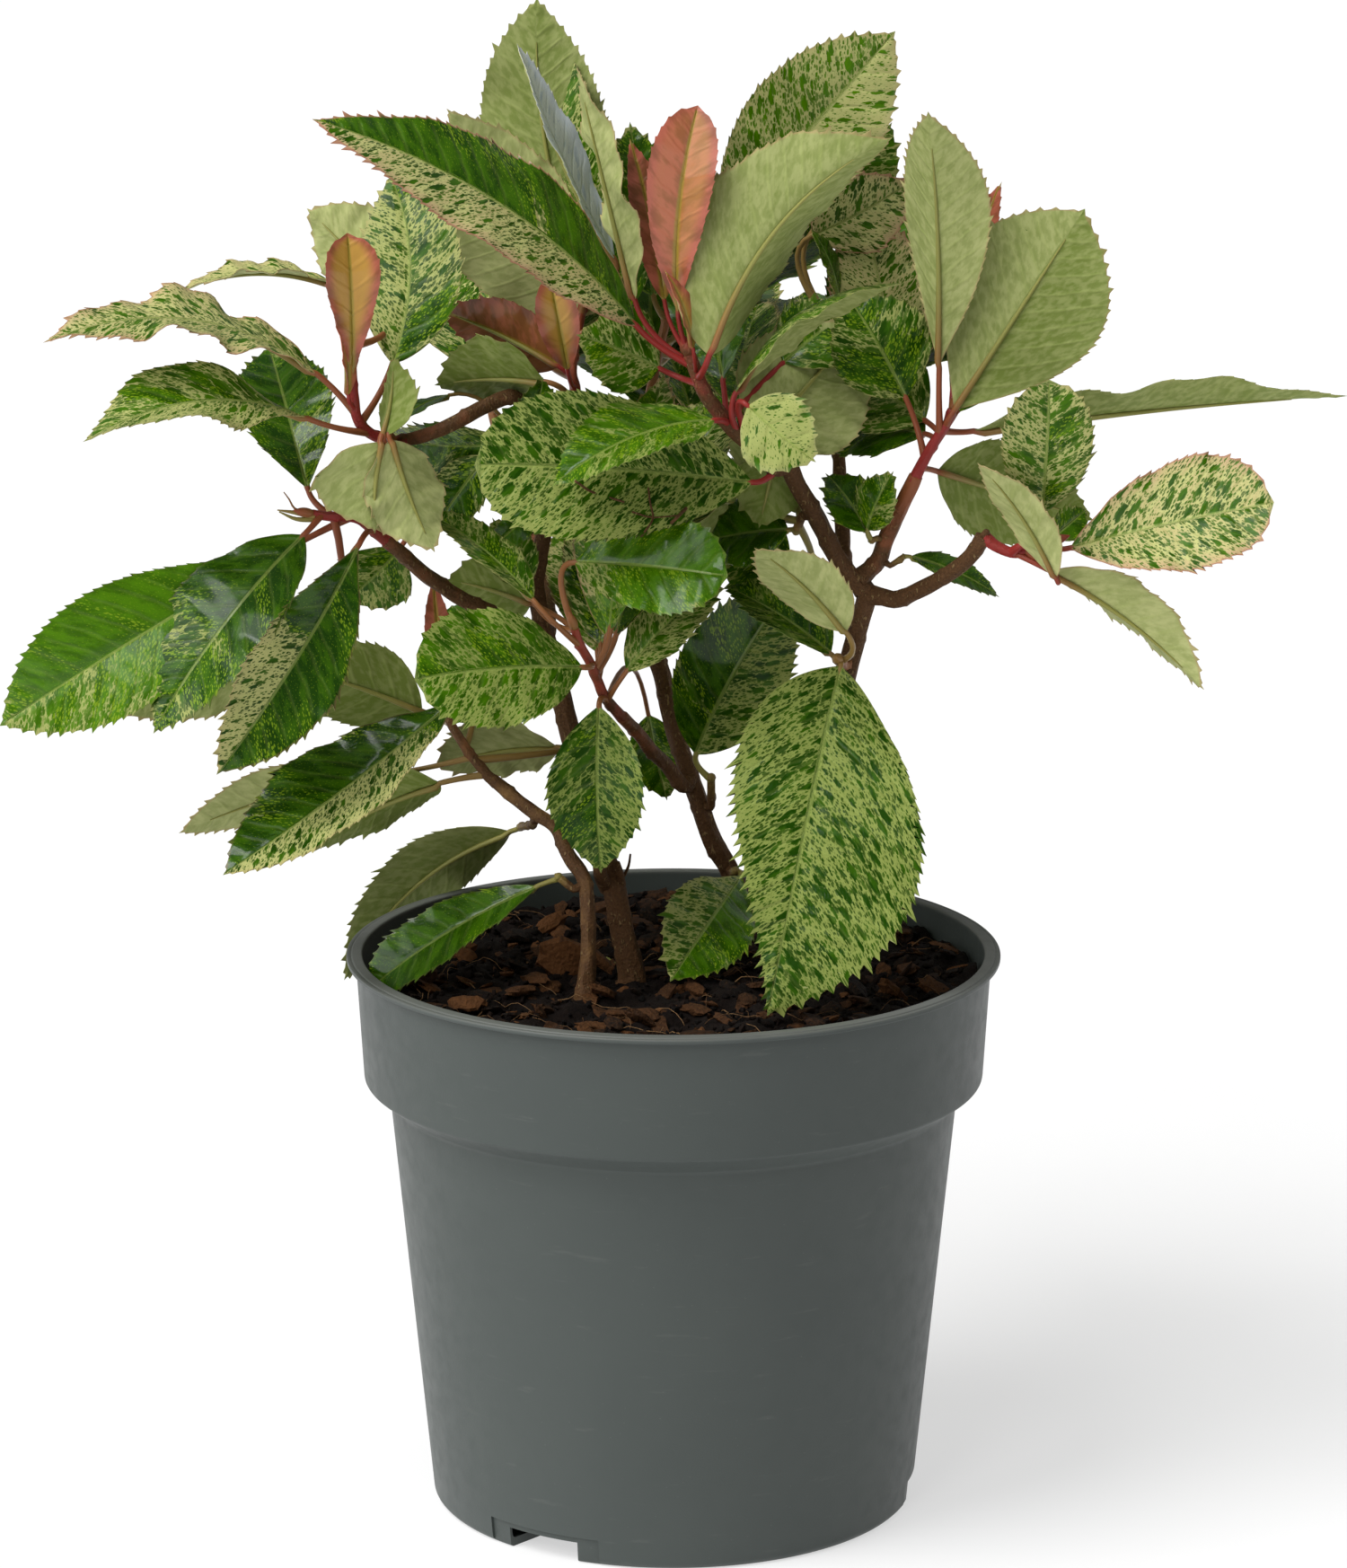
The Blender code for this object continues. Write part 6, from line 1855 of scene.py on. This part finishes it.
@dataclass
class Compost:
    """The pot's fill: a rough bed of peat, with bark chips, crumbs and fibres strewn on it."""

    level: float = 0.1570
    radius: float = 0.0885
    depth: float = 0.030
    rough: float = 0.9 * MM
    rings: int = 90
    sides: int = 240
    chips: int = 430
    crumbs: int = 1500
    fibres: int = 110
    marked: tuple = (
        (628, 1088, 7.5, 0.75, 10, 1.0), (612, 1102, 4.5, 0.3, 75, 0.6), (747, 1006, 4.5, 0.5, 10, 0.7),
        (731, 1086, 5.0, 0.3, 125, 0.7), (580, 1113, 4.5, 0.3, 30, 0.5), (717, 1141, 5.0, 0.35, 160, 0.5),
        (976, 1035, 3.4, 0.5, 50, 1.3), (834, 1122, 4.0, 0.5, 100, 0.3), (905, 1108, 4.5, 0.3, 20, 0.6),
        (470, 1104, 5.0, 0.3, 60, 0.5), (520, 1130, 5.5, 0.35, 140, 0.8), (1010, 1088, 4.5, 0.3, 100, 0.5),
    )
    random: np.random.Generator = field(default_factory=lambda: np.random.default_rng(5))

    def height(self, x: Array, y: Array) -> Array:
        """Low waves as the solid has them, with the waves of rough ground on top.

        Args:
            x: places across.
            y: places ahead.

        Returns:
            The surface's height.
        """
        bump = np.sin(x * 210 + 1.3) * np.cos(y * 170 + 0.4) + 0.6 * np.sin(x * 390 - y * 310)
        low = self.level + 1.4 * MM * (bump + 0.4)
        return low + self.rough * ripples(x, y, np.random.default_rng(3), 16 * MM, 16)

    def bed(self) -> Patch:
        """A disc of rings over the rough ground, then down the wall: closed at the bottom."""
        across = np.linspace(0.004, 1, self.rings) * self.radius
        turn = TURN * np.arange(self.sides) / self.sides
        x, y = across[:, None] * np.cos(turn), across[:, None] * np.sin(turn)
        top = np.stack([x, y, self.height(x, y)], -1)
        wall = np.repeat(top[-1:], 2, 0)
        wall[0, :, 2] -= 4 * MM
        wall[1, :, 2] = self.level - self.depth
        wall[1, :, :2] *= 0.86
        rings = np.concatenate([top, wall])[:, ::-1]
        tone = np.full(rings.shape, 0.35)
        middle = np.array([0, 0, float(self.height(np.zeros(1), np.zeros(1))[0])])
        return loft(rings, middle, np.array([0, 0, self.level - self.depth]), {"tone": tone})

    def scatter(self, count: int, reach: float) -> tuple[Array, Array]:
        """Random places on the bed, evenly spread over its disc.

        Args:
            count: how many.
            reach: the largest share of the radius.

        Returns:
            The places, and their heights on the bed.
        """
        across = self.radius * reach * np.sqrt(self.random.uniform(0, 1, count))
        turn = self.random.uniform(0, TURN, count)
        x, y = across * np.cos(turn), across * np.sin(turn)
        return np.stack([x, y], -1), self.height(x, y)

    def lumps(self, count: int, sizes: Array, rings: int, sides: int, tilt: float, sink: float,
              tone: tuple[float, float], set_out: Array | None = None) -> Patch:
        """Irregular flat lumps: boxy rounds with rough sides, turned and strewn on the bed.

        Args:
            count: how many.
            sizes: each one's half length, half width and half height.
            rings: rings from end to end.
            sides: points round each.
            tilt: how far they lean, in radians.
            sink: how far they sink in, as a share of their height.
            tone: the darkest and lightest tone.
            set_out: each one's place, turn and tone, where they aren't strewn.

        Returns:
            All of them as one patch, with tone values.
        """
        t = np.linspace(-0.88, 0.88, rings)
        turn = TURN * (np.arange(sides) + 0.5) / sides
        blunt = (1 - np.abs(t) ** 3.5) ** 0.5
        ring = np.stack([np.sign(np.cos(turn)) * np.abs(np.cos(turn)) ** 0.6,
                         np.sign(np.sin(turn)) * np.abs(np.sin(turn)) ** 0.6], -1)
        base = np.concatenate([np.broadcast_to(t[:, None, None], (rings, sides, 1)),
                               blunt[:, None, None] * ring[None]], -1)
        shape = base[None] * (1 + self.random.uniform(-0.28, 0.28, (count, rings, sides, 3)))
        ends = np.array([[-1.0, 0, 0], [1.0, 0, 0]])
        flat = np.concatenate([shape.reshape(count, -1, 3), np.broadcast_to(ends, (count, 2, 3))], 1)
        flat = flat * sizes[:, None]
        yaw = self.random.uniform(0, TURN, count) if set_out is None else set_out[:, 2]
        lean = self.random.normal(0, tilt, (count, 2))
        ca, sa, cb, sb = np.cos(yaw), np.sin(yaw), np.cos(lean[:, 0]), np.sin(lean[:, 0])
        cc, sc = np.cos(lean[:, 1]), np.sin(lean[:, 1])
        zero, one = 0 * yaw, 0 * yaw + 1
        about_z = np.array([[ca, -sa, zero], [sa, ca, zero], [zero, zero, one]]).transpose(2, 0, 1)
        about_y = np.array([[cb, zero, sb], [zero, one, zero], [-sb, zero, cb]]).transpose(2, 0, 1)
        about_x = np.array([[one, zero, zero], [zero, cc, -sc], [zero, sc, cc]]).transpose(2, 0, 1)
        flat = np.einsum("nij,njk,nkl,npl->npi", about_z, about_y, about_x, flat)
        places, heights = self.scatter(count, 0.955)
        if set_out is not None:
            places, heights = set_out[:, :2], self.height(set_out[:, 0], set_out[:, 1])
        flat[..., :2] += places[:, None]
        flat[..., 2] += (heights + sizes[:, 2] * sink)[:, None]
        one_lump = loft(base, ends[0], ends[1])
        step = (np.arange(count) * len(one_lump.points))[:, None, None]
        shade = tone[0] + (tone[1] - tone[0]) * self.random.uniform(0, 1, count) ** 1.7
        shade = shade if set_out is None else set_out[:, 3]
        tones = np.repeat(np.repeat(shade[:, None], len(one_lump.points), 1)[..., None], 3, -1)
        return Patch(flat.reshape(-1, 3), (one_lump.quads[None] + step).reshape(-1, 4),
                     (one_lump.tris[None] + step).reshape(-1, 3), {"tone": tones.reshape(-1, 3)})

    def large_chips(self) -> Patch:
        """The chips that stand out: each lies where the ray through its place meets the fill's level."""
        rows = []
        for across, down, size, high, turn, tone in self.marked:
            aim = VIEW.seen(across, down, 0.0) - VIEW.eye
            x, y, _ = VIEW.eye + aim * (self.level - VIEW.eye[2]) / aim[2]
            rows.append((x, y, math.radians(turn), tone, size * MM, 0.7 * size * MM, high * size * MM))
        rows = np.array(rows)
        return self.lumps(len(rows), rows[:, 4:], 6, 9, 0.15, 0.6, (0.0, 1.0), rows)

    def strands(self) -> Patch:
        """Fine bent fibres that lie on the bed: arcs that wander, rising a little in the middle."""
        places, heights = self.scatter(self.fibres, 0.93)
        patches = []
        for (x, y), z in zip(places, heights):
            yaw, bend = self.random.uniform(0, TURN), self.random.uniform(-1.2, 1.2)
            length, fat = self.random.uniform(5, 17) * MM, self.random.uniform(0.09, 0.22) * MM
            t = np.linspace(0, 1, 8)
            turn = yaw + bend * t
            path = np.stack([x + length * t * np.cos(turn), y + length * t * np.sin(turn), z + 0 * t], -1)
            inside = np.hypot(path[:, 0], path[:, 1]) < self.radius * 0.98
            if not inside.all():
                continue
            path[:, 2] = self.height(path[:, 0], path[:, 1]) + (0.4 + 1.6 * np.sin(math.pi * t)) * MM
            tone = np.full((len(t), 3), self.random.uniform(0.1, 1.0))
            patches.append(tube(path, fat * (1 - 0.5 * t), 4, values={"tone": tone}))
        return join(patches)

    def build(self, peat: bpy.types.Material, chip: bpy.types.Material, fibre: bpy.types.Material) -> None:
        """Makes the bed and all that lies on it.

        Args:
            peat: the finish of bed and crumbs.
            chip: the finish of bark chips.
            fibre: the finish of fibres.
        """
        draw = self.random.uniform
        make_piece("compost_bed", self.bed(), peat, ("compost",), crease=180)
        n = self.chips
        long = 2.0 * MM + 4.2 * MM * draw(0, 1, n) ** 1.8
        sizes = np.stack([long, long * draw(0.35, 0.75, n), long * draw(0.14, 0.32, n)], -1)
        make_piece("bark_chips", self.lumps(n, sizes, 5, 7, 0.35, 0.6, (0.0, 1.0)), chip, crease=38)
        make_piece("large_chips", self.large_chips(), chip, crease=38)
        n = self.crumbs
        size = draw(0.45, 1.5, n) * MM
        sizes = np.stack([size, size * draw(0.6, 1, n), size * draw(0.5, 0.9, n)], -1)
        make_piece("peat_crumbs", self.lumps(n, sizes, 3, 6, 0.8, 0.5, (0.0, 0.9)), peat, crease=45)
        make_piece("peat_fibres", self.strands(), fibre, crease=180)


@dataclass
class Studio:
    """The photograph's room: a pale floor, white all round, and large soft lamps."""

    floor_half: float = 9.0
    floor_tone: float = 0.42
    floor_glow: float = 0.58
    sky: float = 0.18
    lamps: tuple = (
        ((-0.42, -0.25, 0.87), 30.0, 2.0),
        ((-0.80, -0.40, 0.45), 50.0, 1.5),
        ((-0.30, -0.72, 0.62), 16.0, 0.5),
        ((0.55, 0.60, 0.58), 60.0, 0.2),
    )

    def build(self) -> None:
        """Makes the floor, the lamps, the sky and the camera."""
        self.floor()
        for toward, spread, power in self.lamps:
            self.lamp(toward, spread, power)
        world = bpy.data.worlds.new("white_room")
        world.use_nodes = True
        world.node_tree.nodes["Background"].inputs["Color"].default_value = (1, 1, 1, 1)
        world.node_tree.nodes["Background"].inputs["Strength"].default_value = self.sky
        bpy.context.scene.world = world
        bpy.context.scene.view_settings.view_transform = "Standard"
        self.camera()

    def floor(self) -> None:
        """A wide flat sheet under the pot, pale and glowing a little."""
        h = self.floor_half
        mesh = bpy.data.meshes.new("floor")
        mesh.from_pydata([(-h, -h, 0), (h, -h, 0), (h, h, 0), (-h, h, 0)], [], [(0, 1, 2, 3)])
        made, _, shader = new_material("pale_floor", Roughness=0.9)
        shader.inputs["Base Color"].default_value = (self.floor_tone,) * 3 + (1.0,)
        shader.inputs["Emission Color"].default_value = (1.0, 1.0, 1.0, 1.0)
        shader.inputs["Emission Strength"].default_value = self.floor_glow
        mesh.materials.append(made)
        floor = bpy.data.objects.new("floor", mesh)
        bpy.context.scene.collection.objects.link(floor)

    def lamp(self, toward: tuple[float, float, float], spread: float, power: float) -> None:
        """A soft lamp far away.

        Args:
            toward: the direction that it stands in.
            spread: how wide it looks from the plant, in degrees.
            power: in watts a square metre.
        """
        light = bpy.data.lights.new("soft_lamp", "SUN")
        light.angle = math.radians(spread)
        light.energy = power
        lamp = bpy.data.objects.new("soft_lamp", light)
        lamp.rotation_euler = (-Vector(toward)).to_track_quat("-Z", "Y").to_euler()
        bpy.context.scene.collection.objects.link(lamp)

    def camera(self) -> None:
        """The camera at the photograph's place, whose lens spreads the picture as VIEW says."""
        lens = bpy.data.cameras.new("camera")
        lens.sensor_fit = "VERTICAL"
        lens.sensor_height = VIEW.sensor
        lens.lens = VIEW.focal / VIEW.tall * VIEW.sensor
        lens.clip_end = 100
        camera = bpy.data.objects.new("camera", lens)
        camera.location = VIEW.eye
        camera.rotation_euler = (math.pi / 2 - VIEW.pitch, 0, 0)
        bpy.context.scene.collection.objects.link(camera)
        bpy.context.scene.camera = camera


def main() -> None:
    """Builds the finishes, then the studio, the pot, the compost and the plant."""
    logging.basicConfig(level=logging.INFO, format="%(message)s")
    effects = Effects(marbling_group(), ribs_group(), mottle_group())
    Studio().build()
    Pot().build(PotFinish().make(effects))
    Compost().build(
        PeatFinish("peat", "070403", "1b100a", 0.95, 60.0).make(effects),
        PeatFinish("bark_chip", "120b06", "5c3a1e", 0.85, 90.0).make(effects),
        PeatFinish("fibre", "3a2517", "8a6a48", 0.85, 90.0).make(effects))
    Plant(LeafShape(), Stalk(), LimbShape()).build(
        BarkFinish().make(effects), LeafFinish().make(effects), YoungFinish().make(effects))


if __name__ == "__main__":
    main()
